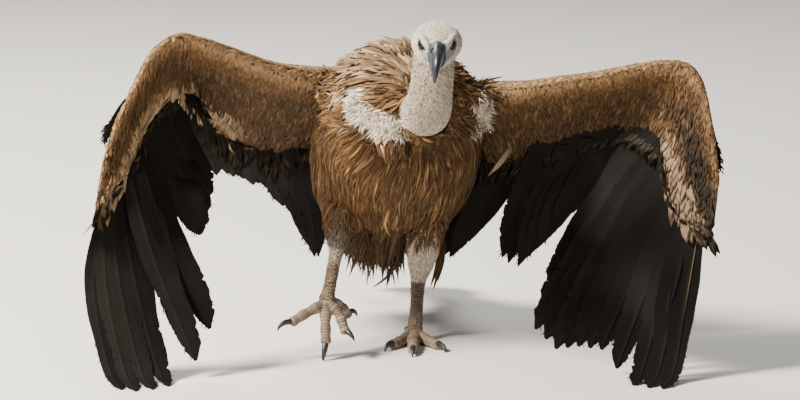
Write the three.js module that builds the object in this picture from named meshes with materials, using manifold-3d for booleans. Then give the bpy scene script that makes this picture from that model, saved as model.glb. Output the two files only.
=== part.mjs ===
// Griffon vulture (Gyps fulvus), life size, striding with its wings half spread and drooping.
// Millimetres, +Z up. The bird faces -Y, its left side is +X, and everything rests at z = 0:
// the planted left foot, the middle claw of the raised right foot and the tips of both wings.
import * as THREE from 'three';
import { mergeVertices } from 'three/addons/utils/BufferGeometryUtils.js';
import Module from 'manifold-3d';

const wasm = await Module();
wasm.setup();

// ---- Driving dimensions ------------------------------------------------------------------

const GAP = 0.6;                  // a neighbour is grown by this much before it is cut away
const SPLIT = 0.4;                // width of the cut that parts one piece into two
const VANE = 3;                   // thickness of a flight feather
const LAID = 1.2;                 // height of a vane's middle where it lies on the floor
const SPINE_X = new THREE.Vector3(1, 0, 0);

// Trunk, from the breast to the rump: [x, y, z, half width, half depth]
const TRUNK = [
  [18, -146, 416, 72, 56],
  [6, -104, 420, 120, 92],
  [-6, -45, 398, 146, 126],
  [-8, 5, 350, 150, 143],
  [-18, 65, 277, 146, 146],
  [-26, 135, 217, 127, 122],
  [-30, 200, 192, 94, 86],
  [-30, 252, 184, 58, 50],
];

// Collar of long feathers that arches over the shoulders behind the neck
const RUFF = [
  [-126, -84, 432, 28, 32],
  [-86, -68, 456, 39, 38],
  [-32, -48, 484, 46, 44],
  [24, -42, 483, 46, 44],
  [84, -58, 452, 41, 38],
  [130, -76, 428, 28, 30],
];

// Neck, from between the shoulders forward and then up to the skull
const NECK = [
  [14, -58, 436, 44, 44],
  [24, -112, 430, 43, 43],
  [34, -165, 428, 42, 41],
  [41, -214, 440, 41, 40],
  [45, -244, 470, 38, 38],
  [49, -256, 506, 35, 36],
  [54, -258, 545, 33, 34],
];

// Skull in its own frame, nose along -Y: [y, z, half width, half height]
const HEAD_AT = new THREE.Vector3(56.5, -268, 562);
const HEAD_PITCH = THREE.MathUtils.degToRad(10);
const SKULL = [
  [40, 1, 24, 22],
  [24, 1, 37, 33],
  [2, 0, 42.5, 37],
  [-20, -1, 39, 35],
  [-38, -5, 29, 30],
  [-52, -7, 19.5, 25],
  [-62, -7, 14.5, 21],
];
const BILL_UPPER = [
  [-56, 3, 13.5, 14],
  [-72, 1, 13.3, 14.5],
  [-88, -3, 11.5, 14],
  [-101, -11, 8.6, 11.5],
  [-109, -23, 5.4, 8],
  [-110, -34, 2.2, 3.5],
];
const BILL_LOWER = [
  [-50, -20, 12.5, 7],
  [-72, -20.5, 11, 6.5],
  [-90, -21, 8.5, 5],
  [-99, -21, 5, 3],
];
const EYE_RADIUS = 9.5;
const EYE_AT = new THREE.Vector3(21.5, -36, 7);

// Wings: leading edge and covert edge of each station, and the thickness between them.
// Stations run from the shoulder to the wrist and on down the hand.
const WING_RIGHT = {
  name: 'right',
  wrist: 5,
  elbow: 2.6,
  stations: [
    [-112, -62, 474, -120, 100, 345, 84],
    [-172, -85, 488, -176, 115, 317, 72],
    [-222, -110, 503, -227, 95, 320, 62],
    [-280, -135, 530, -286, 60, 340, 52],
    [-337, -155, 553, -335, 5, 387, 46],
    [-376, -165, 562, -352, -72, 440, 44],
    [-420, -175, 532, -384, -122, 444, 38],
    [-455, -190, 469, -416, -152, 415, 32],
    [-480, -203, 420, -436, -176, 372, 28],
    [-496, -218, 372, -458, -204, 328, 24],
    [-509, -234, 316, -482, -228, 300, 20],
    [-516, -250, 269, -502, -248, 262, 14],
  ],
  primaries: [
    { span: 10.6, bow: [-22, 30, 0], knee: [-482, -326, 16], tip: [-462, -384, LAID], half: 18 },
    { span: 10.2, bow: [-18, 25, 0], knee: [-458, -330, 16], tip: [-438, -396, LAID], half: 19 },
    { span: 9.8, bow: [-14, 20, 0], knee: [-431, -326, 16], tip: [-411, -382, LAID], half: 20 },
    { span: 9.3, bow: [-10, 15, 0], knee: [-402, -316, 16], tip: [-386, -356, LAID], half: 20 },
    { span: 8.7, bow: [-10, 0, 0], tip: [-343, -285, 29], half: 25 },
    { span: 8.0, bow: [-10, 0, 0], tip: [-321, -250, 76], half: 26 },
    { span: 7.2, bow: [-4, 0, 0], tip: [-339, -145, 216], half: 31 },
    { span: 6.4, bow: [4, 0, 0], tip: [-334, -98, 262], half: 28 },
  ],
  secondaries: [
    { span: 5.2, tip: [-352, 50, 312], half: 25 },
    { span: 4.3, tip: [-322, 112, 282], half: 26 },
    { span: 3.6, tip: [-288, 155, 256], half: 27 },
    { span: 3.0, tip: [-250, 182, 240], half: 27 },
    { span: 2.4, tip: [-210, 200, 210], half: 27 },
  ],
  tertials: [
    { span: 1.85, tip: [-180, 212, 164], half: 24 },
    { span: 1.5, tip: [-162, 216, 126], half: 23 },
    { span: 1.15, tip: [-142, 210, 90], half: 22 },
  ],
  alula: { span: 7.3, chord: 0.1, tip: [-497, -192, 378], half: 13 },
};
const WING_LEFT = {
  name: 'left',
  wrist: 7,
  elbow: 3.2,
  stations: [
    [112, -56, 452, 108, 85, 318, 82],
    [164, -72, 463, 162, 62, 302, 70],
    [209, -92, 467, 204, 45, 316, 62],
    [264, -112, 479, 252, 20, 338, 54],
    [330, -135, 492, 308, -8, 358, 48],
    [399, -155, 510, 362, -42, 374, 46],
    [445, -165, 518, 404, -80, 380, 44],
    [480, -170, 512, 428, -112, 364, 42],
    [501, -177, 482, 436, -137, 334, 38],
    [514, -190, 430, 441, -166, 300, 34],
    [523, -203, 380, 450, -195, 270, 30],
    [528, -219, 325, 470, -220, 247, 24],
    [522, -236, 270, 498, -242, 232, 16],
  ],
  primaries: [
    { span: 11.5, bow: [2, 25, 0], knee: [448, -326, 16], tip: [428, -378, LAID], half: 19 },
    { span: 11.0, bow: [2, 20, 0], knee: [423, -324, 16], tip: [405, -370, LAID], half: 20 },
    { span: 10.5, bow: [2, 12, 0], knee: [397, -310, 16], tip: [381, -350, LAID], half: 20 },
    { span: 9.9, bow: [2, 5, 0], tip: [357, -252, 9], half: 24 },
    { span: 9.3, bow: [0, 0, 0], tip: [333, -198, 30], half: 24 },
    { span: 8.6, bow: [0, 0, 0], tip: [296, -150, 26], half: 26 },
    { span: 7.9, bow: [0, 0, 0], tip: [259, -112, 14], half: 27 },
    { span: 7.2, bow: [0, 0, 0], tip: [226, -72, 40], half: 27 },
    { span: 6.4, bow: [0, 0, 0], tip: [250, -22, 104], half: 27 },
  ],
  secondaries: [
    { span: 5.7, tip: [254, 62, 190], half: 24 },
    { span: 4.8, tip: [226, 84, 150], half: 25 },
    { span: 4.0, tip: [192, 100, 118], half: 26 },
    { span: 3.3, tip: [166, 114, 112], half: 25 },
  ],
  tertials: [
    { span: 2.5, tip: [86, 184, 116], half: 25 },
    { span: 1.9, tip: [70, 198, 112], half: 25 },
    { span: 1.3, tip: [64, 206, 134], half: 24 },
  ],
  alula: { span: 9.2, chord: 0.08, tip: [529, -204, 334], half: 12 },
};

// Tail: upper and lower coverts round its root, and the fan of quills
const TAIL_COVERTS = [
  [-30, 222, 190, 76, 52],
  [-30, 285, 162, 66, 36],
  [-30, 345, 132, 54, 18],
];
const TAIL = { root: [-30, 285, 166], length: 205, drop: 0.5, spread: 0.36, quills: 7, half: 24 };

// Legs: the thigh under its long feathers, then shank and tarsus down to the root of the toes
const LEG_RIGHT = {
  name: 'right',
  thigh: [
    [-80, 82, 256, 52, 60],
    [-92, 40, 240, 50, 55],
    [-102, 6, 214, 35, 40],
  ],
  shank: [
    [-101, 14, 226, 29, 33],
    [-107, -4, 197, 26, 30],
    [-111, -15, 178, 15.5, 17],
    [-113, -20, 165, 11.5, 13.5],
    [-118, -46, 139, 8.5, 10],
    [-124, -74, 110, 8, 9.5],
    [-128, -90, 94, 10.5, 10],
  ],
  hock: 2.6,
};
const LEG_LEFT = {
  name: 'left',
  thigh: [
    [48, 104, 256, 50, 60],
    [45, 72, 230, 46, 54],
    [41, 48, 198, 37, 40],
  ],
  shank: [
    [40, 50, 204, 31, 34],
    [36, 57, 166, 30, 32],
    [32, 74, 130, 26, 27],
    [28, 89, 99, 14, 15.5],
    [26, 84, 82, 10.5, 12.5],
    [24, 56, 50, 8.8, 10.5],
    [21, 24, 18, 11.5, 11],
  ],
  hock: 3.3,
};

// Toes as [x, y, z, radius] from the root, and claws from the end of each toe to the point
const TOES = {
  right: {
    outer: {
      toe: [[-130, -96, 88, 9], [-157, -110, 78, 7.5], [-184, -125, 64, 7.8]],
      claw: [[-184, -125, 64, 5.5], [-198, -134, 64, 4.6], [-207, -139, 58, 2.8], [-210, -140, 51, 0.8]],
    },
    middle: {
      toe: [[-129, -97, 88, 10], [-130, -113, 60, 8], [-129, -127, 31, 8.2]],
      claw: [[-129, -127, 31, 5.8], [-131, -136, 19, 5], [-133, -139, 8, 3.4], [-134, -138, -1, 1.8]],
    },
    inner: {
      toe: [[-126, -97, 88, 9], [-108, -108, 74, 7.5], [-97, -122, 48, 7.8]],
      claw: [[-97, -122, 48, 5.5], [-90, -132, 46, 4.8], [-84, -138, 40, 3], [-81, -139, 33, 0.8]],
    },
    hind: {
      toe: [[-124, -86, 91, 8.5], [-104, -73, 80, 7.2], [-93, -62, 64, 7.5]],
      claw: [[-93, -62, 64, 5.5], [-86, -53, 68, 4.8], [-80, -48, 65, 3], [-77, -46, 57, 0.8]],
    },
  },
  left: {
    outer: {
      toe: [[24, 16, 13, 9], [43, -14, 8, 8.5], [59, -44, 6.4, 8]],
      claw: [[59, -44, 7.5, 5.5], [66, -57, 10, 4.6], [71, -67, 7.5, 3], [73, -73, 0.4, 1.2]],
    },
    middle: {
      toe: [[21, 14, 13, 10], [19, -32, 8, 9], [18, -78, 6.6, 8.4]],
      claw: [[18, -78, 8, 6], [17.5, -94, 11, 5], [17, -106, 8.5, 3.2], [17, -113, 0.4, 1.2]],
    },
    inner: {
      toe: [[17, 16, 13, 9], [0, -12, 8, 8.6], [-15, -38, 6.6, 8.2]],
      claw: [[-15, -38, 8, 6], [-22, -51, 11, 5], [-27, -61, 8.5, 3.2], [-30, -67, 0.4, 1.2]],
    },
    hind: {
      toe: [[19, 30, 13, 8.5], [15, 46, 8.4, 8], [11, 61, 6.4, 7.8]],
      claw: [[11, 61, 7.5, 5.8], [8, 75, 11, 5], [6, 86, 8.5, 3.2], [5, 92, 0.4, 1.2]],
    },
  },
};

const COLORS = {
  down: ['#d9cdb4', 0.9],
  plumage: ['#9a6a3c', 0.9],
  quill: ['#2a221d', 0.75],
  covert: ['#b08a63', 0.9],
  bill: ['#4d565e', 0.4],
  horn: ['#23201e', 0.35],
  scale: ['#8b7d70', 0.7],
  eye: ['#1b120b', 0.08],
  fluff: ['#b9ab9c', 0.95],
};

// ---- Solids from rings ---------------------------------------------------------------------

const vector = (p) => new THREE.Vector3(p[0], p[1], p[2]);
const mix = (a, b, t) => a + (b - a) * t;

// A smooth value through the stations at span t, with every column blended alike
function sample(stations, t) {
  const last = stations.length - 1;
  const i = Math.min(Math.floor(t), last - 1);
  const f = t - i;
  const before = stations[Math.max(i - 1, 0)];
  const after = stations[Math.min(i + 2, last)];
  return stations[i].map((b, k) => {
    const [a, c, d] = [before[k], stations[i + 1][k], after[k]];
    return b + 0.5 * f * (c - a + f * (2 * a - 5 * b + 4 * c - d + f * (3 * (b - c) + d - a)));
  });
}

// The whole run of stations with `steps` stretches between each pair
function smooth(stations, steps) {
  const count = (stations.length - 1) * steps;
  return Array.from({ length: count + 1 }, (_, i) => sample(stations, i / steps));
}

function meshOf(points, index) {
  const geometry = new THREE.BufferGeometry();
  geometry.setAttribute('position', new THREE.Float32BufferAttribute(points.flatMap((p) => p.toArray()), 3));
  geometry.setIndex(index);
  return geometry;
}

// A closed solid through rings of equal length, shut by a point past each end
function skin(rings, poleA, poleB) {
  const sides = rings[0].length;
  const points = [poleA, ...rings.flat(), poleB];
  const end = points.length - 1;
  const index = [];
  for (let k = 0; k < sides; k++) {
    const next = (k + 1) % sides;
    index.push(0, 1 + next, 1 + k);
    index.push(end, end - sides + k, end - sides + next);
    for (let r = 0; r < rings.length - 1; r++) {
      const [a, b] = [1 + r * sides, 1 + (r + 1) * sides];
      index.push(a + k, a + next, b + next, a + k, b + next, b + k);
    }
  }
  return meshOf(points, index);
}

// The signed volume tells whether the faces point out
function signedVolume(geometry) {
  const p = geometry.attributes.position;
  const [a, b, c] = [new THREE.Vector3(), new THREE.Vector3(), new THREE.Vector3()];
  let volume = 0;
  for (let i = 0; i < geometry.index.count; i += 3) {
    a.fromBufferAttribute(p, geometry.index.getX(i));
    b.fromBufferAttribute(p, geometry.index.getX(i + 1));
    c.fromBufferAttribute(p, geometry.index.getX(i + 2));
    volume += a.dot(b.cross(c)) / 6;
  }
  return volume;
}

function solid(source) {
  const bare = source.clone();
  bare.deleteAttribute('normal');
  bare.deleteAttribute('uv');
  const geometry = mergeVertices(bare, 1e-4);
  const triVerts = Uint32Array.from(geometry.index.array);
  if (signedVolume(geometry) < 0) {
    for (let i = 0; i < triVerts.length; i += 3) [triVerts[i], triVerts[i + 1]] = [triVerts[i + 1], triVerts[i]];
  }
  const vertProperties = Float32Array.from(geometry.attributes.position.array);
  return new wasm.Manifold(new wasm.Mesh({ numProp: 3, vertProperties, triVerts }));
}

const middleOf = (ring) => ring.reduce((sum, p) => sum.add(p), new THREE.Vector3()).divideScalar(ring.length);
const join = (solids) => solids.reduce((a, b) => a.add(b));

// What is left of a body after its cuts, without the crumbs that a cut can leave beside it
function less(body, ...cutters) {
  const rest = cutters.reduce((a, b) => a.subtract(b), body).decompose();
  return rest.reduce((a, b) => (a.volume() > b.volume() ? a : b));
}

// A box that covers everything on the far side of a plane
function beyond(point, normal) {
  const reach = 1600;
  const box = new THREE.BoxGeometry(reach, reach, reach);
  box.translate(0, 0, reach / 2);
  box.applyQuaternion(new THREE.Quaternion().setFromUnitVectors(new THREE.Vector3(0, 0, 1), normal));
  box.translate(point.x, point.y, point.z);
  return solid(box);
}

const belowFloor = beyond(new THREE.Vector3(0, 0, 0), new THREE.Vector3(0, 0, -1));

// Two pieces of one body, parted by a thin cut across its spine
function part(body, point, along) {
  const normal = along.clone().normalize();
  const half = normal.clone().multiplyScalar(SPLIT / 2);
  const near = less(body, beyond(point.clone().sub(half), normal));
  const far = less(body, beyond(point.clone().add(half), normal.clone().negate()));
  return [near, far];
}

// A round body along a spine of [x, y, z, half width, half depth] stations
function bodyOf(stations, { steps = 2, sides = 12, power = 2, cap = 0.5, gap = 0, across = SPINE_X } = {}) {
  const rows = smooth(stations, steps);
  const centres = rows.map(vector);
  const rings = [];
  const ringAt = (centre, tangent, width, depth) => {
    const side = across.clone().addScaledVector(tangent, -across.dot(tangent)).normalize();
    const up = new THREE.Vector3().crossVectors(side, tangent);
    return Array.from({ length: sides }, (_, k) => {
      const angle = (2 * Math.PI * k) / sides;
      const [c, s] = [Math.cos(angle), Math.sin(angle)];
      const u = Math.sign(c) * Math.abs(c) ** (2 / power) * width;
      const v = Math.sign(s) * Math.abs(s) ** (2 / power) * depth;
      return centre.clone().addScaledVector(side, u).addScaledVector(up, v);
    });
  };
  const tangentAt = (i) => {
    const [a, b] = [centres[Math.max(i - 1, 0)], centres[Math.min(i + 1, rows.length - 1)]];
    return b.clone().sub(a).normalize();
  };
  const radii = rows.map((row) => [row[3] + gap, (row[4] ?? row[3]) + gap]);
  const last = rows.length - 1;
  const [headDir, tailDir] = [tangentAt(0).negate(), tangentAt(last)];
  const headCap = Math.min(...radii[0]) * cap;
  const tailCap = Math.min(...radii[last]) * cap;
  const shrink = 0.72;
  const rise = 0.68;
  if (cap) {
    const centre = centres[0].clone().addScaledVector(headDir, headCap * rise);
    rings.push(ringAt(centre, tangentAt(0), radii[0][0] * shrink, radii[0][1] * shrink));
  }
  rows.forEach((_, i) => rings.push(ringAt(centres[i], tangentAt(i), radii[i][0], radii[i][1])));
  if (cap) {
    const centre = centres[last].clone().addScaledVector(tailDir, tailCap * rise);
    rings.push(ringAt(centre, tangentAt(last), radii[last][0] * shrink, radii[last][1] * shrink));
  }
  const poleA = centres[0].clone().addScaledVector(headDir, Math.max(headCap, 0));
  const poleB = centres[last].clone().addScaledVector(tailDir, Math.max(tailCap, 0));
  return skin(rings, poleA, poleB);
}

// ---- Wings ---------------------------------------------------------------------------------

const WING_SIDES = 8;
const CAMBER = 0.07;

// The frame of a wing section: leading edge, chord, and the way to its upper side
function wingFrame(wing, t) {
  const row = sample(wing.stations, t);
  const lead = vector(row);
  const chord = new THREE.Vector3(row[3], row[4], row[5]).sub(lead);
  const [a, b] = [sample(wing.stations, Math.max(t - 0.1, 0)), sample(wing.stations, t + 0.1)];
  const outward = vector(b).sub(vector(a)).add(new THREE.Vector3(b[3] - a[3], b[4] - a[4], b[5] - a[5]));
  const up = new THREE.Vector3().crossVectors(chord, outward).normalize();
  if (up.y < 0) up.negate();
  return { lead, chord, up, thick: row[6], outward: outward.normalize() };
}

// A point of the wing's middle surface at span t and chord fraction u
function wingPoint(wing, t, u) {
  const { lead, chord, up } = wingFrame(wing, t);
  const rise = 4 * CAMBER * chord.length() * u * (1 - u);
  return lead.addScaledVector(chord, u).addScaledVector(up, rise);
}

// The arm and hand under their coverts, blunt in front and thin behind
function wingArm(wing, gap = 0) {
  const steps = (wing.stations.length - 1) * 2;
  const rings = [];
  for (let i = 0; i <= steps; i++) {
    const t = Math.min(i / 2, wing.stations.length - 1.001);
    const { chord, up, thick } = wingFrame(wing, t);
    const along = chord.clone().normalize();
    const ring = [];
    for (let k = 0; k < WING_SIDES; k++) {
      const angle = (2 * Math.PI * k) / WING_SIDES;
      const u = (1 - Math.cos(angle)) / 2;
      const half = (thick / 2) * Math.sin(angle) * (1.22 - 0.78 * u) + Math.sign(Math.sin(angle)) * gap;
      const point = wingPoint(wing, t, u).addScaledVector(up, Math.abs(Math.sin(angle)) < 1e-6 ? 0 : half);
      if (k === 0) point.addScaledVector(along, -gap);
      if (k === WING_SIDES / 2) point.addScaledVector(along, gap);
      ring.push(point);
    }
    rings.push(ring);
  }
  const { outward } = wingFrame(wing, wing.stations.length - 1.001);
  const tip = middleOf(rings.at(-1)).addScaledVector(outward, 6 + gap);
  return solid(skin(rings, middleOf(rings[0]), tip));
}

// ---- Flight feathers -----------------------------------------------------------------------

// The shares of their shafts over which the vanes of one row close up into a sheet
const WEB_REACH = [0, 0.17, 0.34, 0.5];
// Half width along the free part of a vane, as [fraction of the shaft, share of the full half width]
const FREE_SHAPE = [
  [0.66, 1],
  [0.82, 0.86],
  [0.94, 0.58],
  [1, 0.2],
];
const LONE_SHAPE = [
  [0.05, 0.7],
  [0.5, 1],
  [0.85, 0.6],
  [1, 0.2],
];
const EDGE_SHARE = 0.85;
const TIP_REACH = 2;
const ROOT_CHORD = 0.82;

// A point and the direction of a shaft at a fraction of its length
const along = (curve, f) => ({ point: curve.getPointAt(f), tangent: curve.getTangentAt(f) });
const shaftThrough = (points) => new THREE.CatmullRomCurve3(points, false, 'centripetal');

// The way a vane's width runs: level, and square to its shaft
const levelAcross = (tangent) => SPINE_X.clone().addScaledVector(tangent, -SPINE_X.dot(tangent)).normalize();

// The two faces of a vane's edge point, each half a thickness off its middle surface
function facesOf(point, across, tangent, gap) {
  const up = new THREE.Vector3().crossVectors(across, tangent).setLength(VANE / 2 + gap);
  return { top: point.clone().add(up), bottom: point.clone().sub(up) };
}

// A row of vanes in one closed solid: a sheet from their roots, parted into single vanes towards the tips.
// Each shaft's outer neighbour comes before it, and no vane reaches past halfway to its neighbours.
function fanOf(shafts, halves, gap = 0) {
  const last = shafts.length - 1;
  const points = [];
  const index = [];
  const put = (p) => points.push(p) - 1;
  const quad = (a, b, c, d) => index.push(a, b, c, a, c, d);
  const putPair = ({ top, bottom }) => ({ top: put(top), bottom: put(bottom) });

  const sheet = WEB_REACH.map((f) => {
    const row = shafts.map((curve) => along(curve, f));
    const middles = row.slice(1).map(({ point }, i) => point.clone().lerp(row[i].point, 0.5));
    const outward = levelAcross(row[0].tangent);
    outward.multiplyScalar(Math.sign(outward.dot(row[0].point.clone().sub(row[last].point)) || 1));
    const inward = levelAcross(row[last].tangent);
    inward.multiplyScalar(-Math.sign(inward.dot(row[0].point.clone().sub(row[last].point)) || 1));
    const edges = [
      row[0].point.clone().addScaledVector(outward, halves[0] * EDGE_SHARE + gap),
      ...middles,
      row[last].point.clone().addScaledVector(inward, halves[last] * EDGE_SHARE + gap),
    ];
    return edges.map((edge, i) => {
      const { tangent } = row[Math.min(i, last)];
      const across = edges[Math.max(i - 1, 0)].clone().sub(edges[Math.min(i + 1, last + 1)]);
      return putPair(facesOf(edge, across, tangent, gap));
    });
  });
  sheet.slice(1).forEach((ring, r) => {
    const before = sheet[r];
    for (let i = 0; i <= last; i++) {
      quad(before[i].top, ring[i].top, ring[i + 1].top, before[i + 1].top);
      quad(before[i].bottom, before[i + 1].bottom, ring[i + 1].bottom, ring[i].bottom);
    }
    quad(before[0].top, before[0].bottom, ring[0].bottom, ring[0].top);
    quad(before[last + 1].top, ring[last + 1].top, ring[last + 1].bottom, before[last + 1].bottom);
  });
  for (let i = 0; i <= last; i++) {
    quad(sheet[0][i].top, sheet[0][i + 1].top, sheet[0][i + 1].bottom, sheet[0][i].bottom);
  }

  shafts.forEach((curve, i) => {
    let before = [sheet.at(-1)[i], sheet.at(-1)[i + 1]];
    for (const [f, share] of FREE_SHAPE) {
      const { point, tangent } = along(curve, f);
      const room = [shafts[i - 1], shafts[i + 1]].filter(Boolean)
        .map((other) => along(other, f).point.distanceTo(point) / 2 - SPLIT / 2 - gap);
      const half = Math.min(halves[i] * share, ...room) + gap;
      const across = levelAcross(tangent);
      const toFirst = points[before[0].top].clone().sub(points[before[1].top]);
      across.multiplyScalar(Math.sign(across.dot(toFirst)));
      const edges = [half, -half].map((h) => point.clone().addScaledVector(across, h));
      const ring = edges.map((edge) => putPair(facesOf(edge, across, tangent, gap)));
      quad(before[0].top, ring[0].top, ring[1].top, before[1].top);
      quad(before[0].bottom, before[1].bottom, ring[1].bottom, ring[0].bottom);
      quad(before[0].top, before[0].bottom, ring[0].bottom, ring[0].top);
      quad(before[1].top, ring[1].top, ring[1].bottom, before[1].bottom);
      before = ring;
    }
    quad(before[0].top, before[0].bottom, before[1].bottom, before[1].top);
  });
  return solid(meshOf(points, index));
}

// A single vane from its root, such as the bastard wing's
function vane(curve, halfWidth) {
  const rings = LONE_SHAPE.map(([f, share]) => {
    const { point, tangent } = along(curve, f);
    const across = levelAcross(tangent);
    const [a, b] = [1, -1].map((s) =>
      facesOf(point.clone().addScaledVector(across, s * share * halfWidth), across, tangent, 0));
    return [a.top, b.top, b.bottom, a.bottom];
  });
  const end = along(curve, 1);
  return solid(skin(rings, middleOf(rings[0]), end.point.addScaledVector(end.tangent, TIP_REACH)));
}

// The shaft of a wing feather, from under the coverts to its tip
function shaft(wing, { span, chord = ROOT_CHORD, bow = [0, 0, 0], knee, tip }) {
  const root = wingPoint(wing, span, chord);
  const end = vector(knee ?? tip);
  const middle = root.clone().lerp(end, 0.5).add(vector(bow));
  return shaftThrough([root, middle, ...(knee ? [vector(knee)] : []), vector(tip)]);
}

const fan = (wing, feathers, gap = 0) =>
  fanOf(feathers.map((f) => shaft(wing, f)), feathers.map((f) => f.half), gap);

// ---- Assembly ------------------------------------------------------------------------------

const group = new THREE.Group();

function add(name, body, [color, roughness], metalness = 0) {
  const { vertProperties, triVerts } = body.getMesh();
  const geometry = new THREE.BufferGeometry();
  geometry.setAttribute('position', new THREE.BufferAttribute(vertProperties, 3));
  geometry.setIndex(new THREE.BufferAttribute(triVerts, 1));
  geometry.computeVertexNormals();
  const mesh = new THREE.Mesh(geometry, new THREE.MeshStandardMaterial({ color, roughness, metalness }));
  mesh.name = name;
  group.add(mesh);
}

// Head pieces are made in the skull's frame and then set on the neck
const headMatrix = new THREE.Matrix4().makeRotationX(HEAD_PITCH).setPosition(HEAD_AT);
const onHead = (geometry) => solid(geometry.applyMatrix4(headMatrix));
const headSpine = (rows) => rows.map(([y, z, width, height]) => [0, y, z, width, height]);

function eyeball(sign, gap = 0) {
  const ball = new THREE.SphereGeometry(EYE_RADIUS + gap, 10, 6);
  ball.translate(sign * EYE_AT.x, EYE_AT.y, EYE_AT.z);
  return onHead(ball);
}

const skullOptions = { sides: 12, steps: 2, cap: 0.45 };
const billOptions = { sides: 8, steps: 2, power: 2.2, cap: 0.4 };
const skull = (gap) => onHead(bodyOf(headSpine(SKULL), { ...skullOptions, gap }));
const billUpper = (gap) => onHead(bodyOf(headSpine(BILL_UPPER), { ...billOptions, gap }));
const billLower = (gap) => onHead(bodyOf(headSpine(BILL_LOWER), { ...billOptions, steps: 1, gap }));
const neck = (gap) => solid(bodyOf(NECK, { sides: 10, steps: 1, gap }));
const body = (gap) => solid(bodyOf(TRUNK, { sides: 16, steps: 1, power: 2.2, cap: 0.6, gap }));
const ruff = (gap) => solid(bodyOf(RUFF, { sides: 10, steps: 1, across: new THREE.Vector3(0, 1, 0), gap }));

const thigh = (leg, gap) => solid(bodyOf(leg.thigh, { sides: 10, steps: 1, cap: 0.6, gap }));
const shin = (leg, gap) => solid(bodyOf(leg.shank, { sides: 8, steps: 1, cap: 0.6, gap }));
const legRoom = join([LEG_RIGHT, LEG_LEFT].flatMap((leg) => [thigh(leg, 2 * GAP), shin(leg, 2 * GAP)]));
const trunk = (gap) => less(body(gap), legRoom);

add('bill_upper', billUpper(0), COLORS.bill);
add('bill_lower', less(billLower(0), billUpper(GAP)), COLORS.bill);
add('eye_right', eyeball(-1), COLORS.eye);
add('eye_left', eyeball(1), COLORS.eye);
add('head', less(skull(0), billUpper(GAP), billLower(GAP), eyeball(-1, GAP), eyeball(1, GAP)), COLORS.down);
add('neck', less(neck(0), skull(GAP)), COLORS.down);
add('trunk', less(trunk(0), neck(GAP)), COLORS.plumage);
add('ruff', less(ruff(0), neck(GAP), trunk(GAP)), COLORS.plumage);

function addWing(wing) {
  const whole = less(wingArm(wing), trunk(GAP), ruff(GAP), neck(GAP));
  const elbow = wingFrame(wing, wing.elbow);
  const wrist = wingFrame(wing, wing.wrist);
  const [upperArm, beyondElbow] = part(whole, elbow.lead.addScaledVector(elbow.chord, 0.5), elbow.outward);
  const [forearm, hand] = part(beyondElbow, wrist.lead.addScaledVector(wrist.chord, 0.5), wrist.outward);
  const prefix = `wing_${wing.name}`;
  add(`${prefix}_upper_arm`, upperArm, COLORS.plumage);
  add(`${prefix}_forearm`, forearm, COLORS.covert);
  add(`${prefix}_hand`, hand, COLORS.covert);
  const armRoom = wingArm(wing, GAP);
  const primaries = less(fan(wing, wing.primaries), armRoom, belowFloor);
  const secondaries = less(fan(wing, wing.secondaries), armRoom, trunk(GAP), fan(wing, wing.primaries, GAP));
  const tertials = less(fan(wing, wing.tertials), armRoom, trunk(GAP), fan(wing, wing.secondaries, GAP));
  const alulaVane = vane(shaft(wing, wing.alula), wing.alula.half);
  const alula = less(alulaVane, armRoom, fan(wing, wing.primaries, GAP));
  add(`${prefix}_primaries`, primaries, COLORS.quill);
  add(`${prefix}_secondaries`, secondaries, COLORS.quill);
  add(`${prefix}_tertials`, tertials, COLORS.quill);
  add(`${prefix}_alula`, alula, COLORS.quill);
}

function addTail() {
  const coverts = (gap) => solid(bodyOf(TAIL_COVERTS, { sides: 12, steps: 1, gap }));
  const quills = [];
  for (let i = 0; i < TAIL.quills; i++) {
    const turn = TAIL.spread * (i / (TAIL.quills - 1) - 0.5) * 2;
    const [x, y, z] = TAIL.root;
    const reach = TAIL.length * (1 - 0.12 * Math.abs(turn));
    const tip = [x + Math.sin(turn) * reach, y + Math.cos(turn) * reach, z - TAIL.drop * reach];
    const middle = [mix(x, tip[0], 0.5), mix(y, tip[1], 0.5), mix(z, tip[2], 0.5) + 6 - 14 * Math.abs(turn)];
    quills.push(shaftThrough([[x, y, z], middle, tip].map(vector)));
  }
  const halves = quills.map(() => TAIL.half);
  add('tail_coverts', less(coverts(0), trunk(GAP)), COLORS.plumage);
  add('tail', less(fanOf(quills, halves), coverts(GAP), trunk(GAP)), COLORS.quill);
}

function addLeg(leg) {
  const whole = less(shin(leg, 0), thigh(leg, 2 * GAP));
  const hock = vector(sample(leg.shank, leg.hock));
  const downward = vector(sample(leg.shank, leg.hock + 0.2)).sub(vector(sample(leg.shank, leg.hock - 0.2)));
  const [shank, tarsus] = part(whole, hock, downward);
  add(`leg_${leg.name}_thigh`, thigh(leg, 0), COLORS.plumage);
  add(`leg_${leg.name}_shank`, shank, COLORS.fluff);
  add(`leg_${leg.name}_tarsus`, less(tarsus, belowFloor), COLORS.scale);
  const taken = [shin(leg, GAP), belowFloor];
  for (const [toe, shape] of Object.entries(TOES[leg.name])) {
    const digit = (gap) => solid(bodyOf(shape.toe, { sides: 6, steps: 1, cap: 0.7, gap }));
    const claw = solid(bodyOf(shape.claw, { sides: 5, steps: 1, cap: 0.8 }));
    add(`toe_${leg.name}_${toe}`, less(digit(0), ...taken), COLORS.scale);
    add(`claw_${leg.name}_${toe}`, less(claw, digit(GAP), belowFloor), COLORS.horn);
    taken.push(digit(GAP));
  }
}

addWing(WING_RIGHT);
addWing(WING_LEFT);
addTail();
addLeg(LEG_RIGHT);
addLeg(LEG_LEFT);

// The origin is on the floor under the middle of the bounding box
const middle = new THREE.Box3().setFromObject(group).getCenter(new THREE.Vector3());
for (const { geometry } of group.children) geometry.translate(-middle.x, -middle.y, 0);

export default group;
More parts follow.
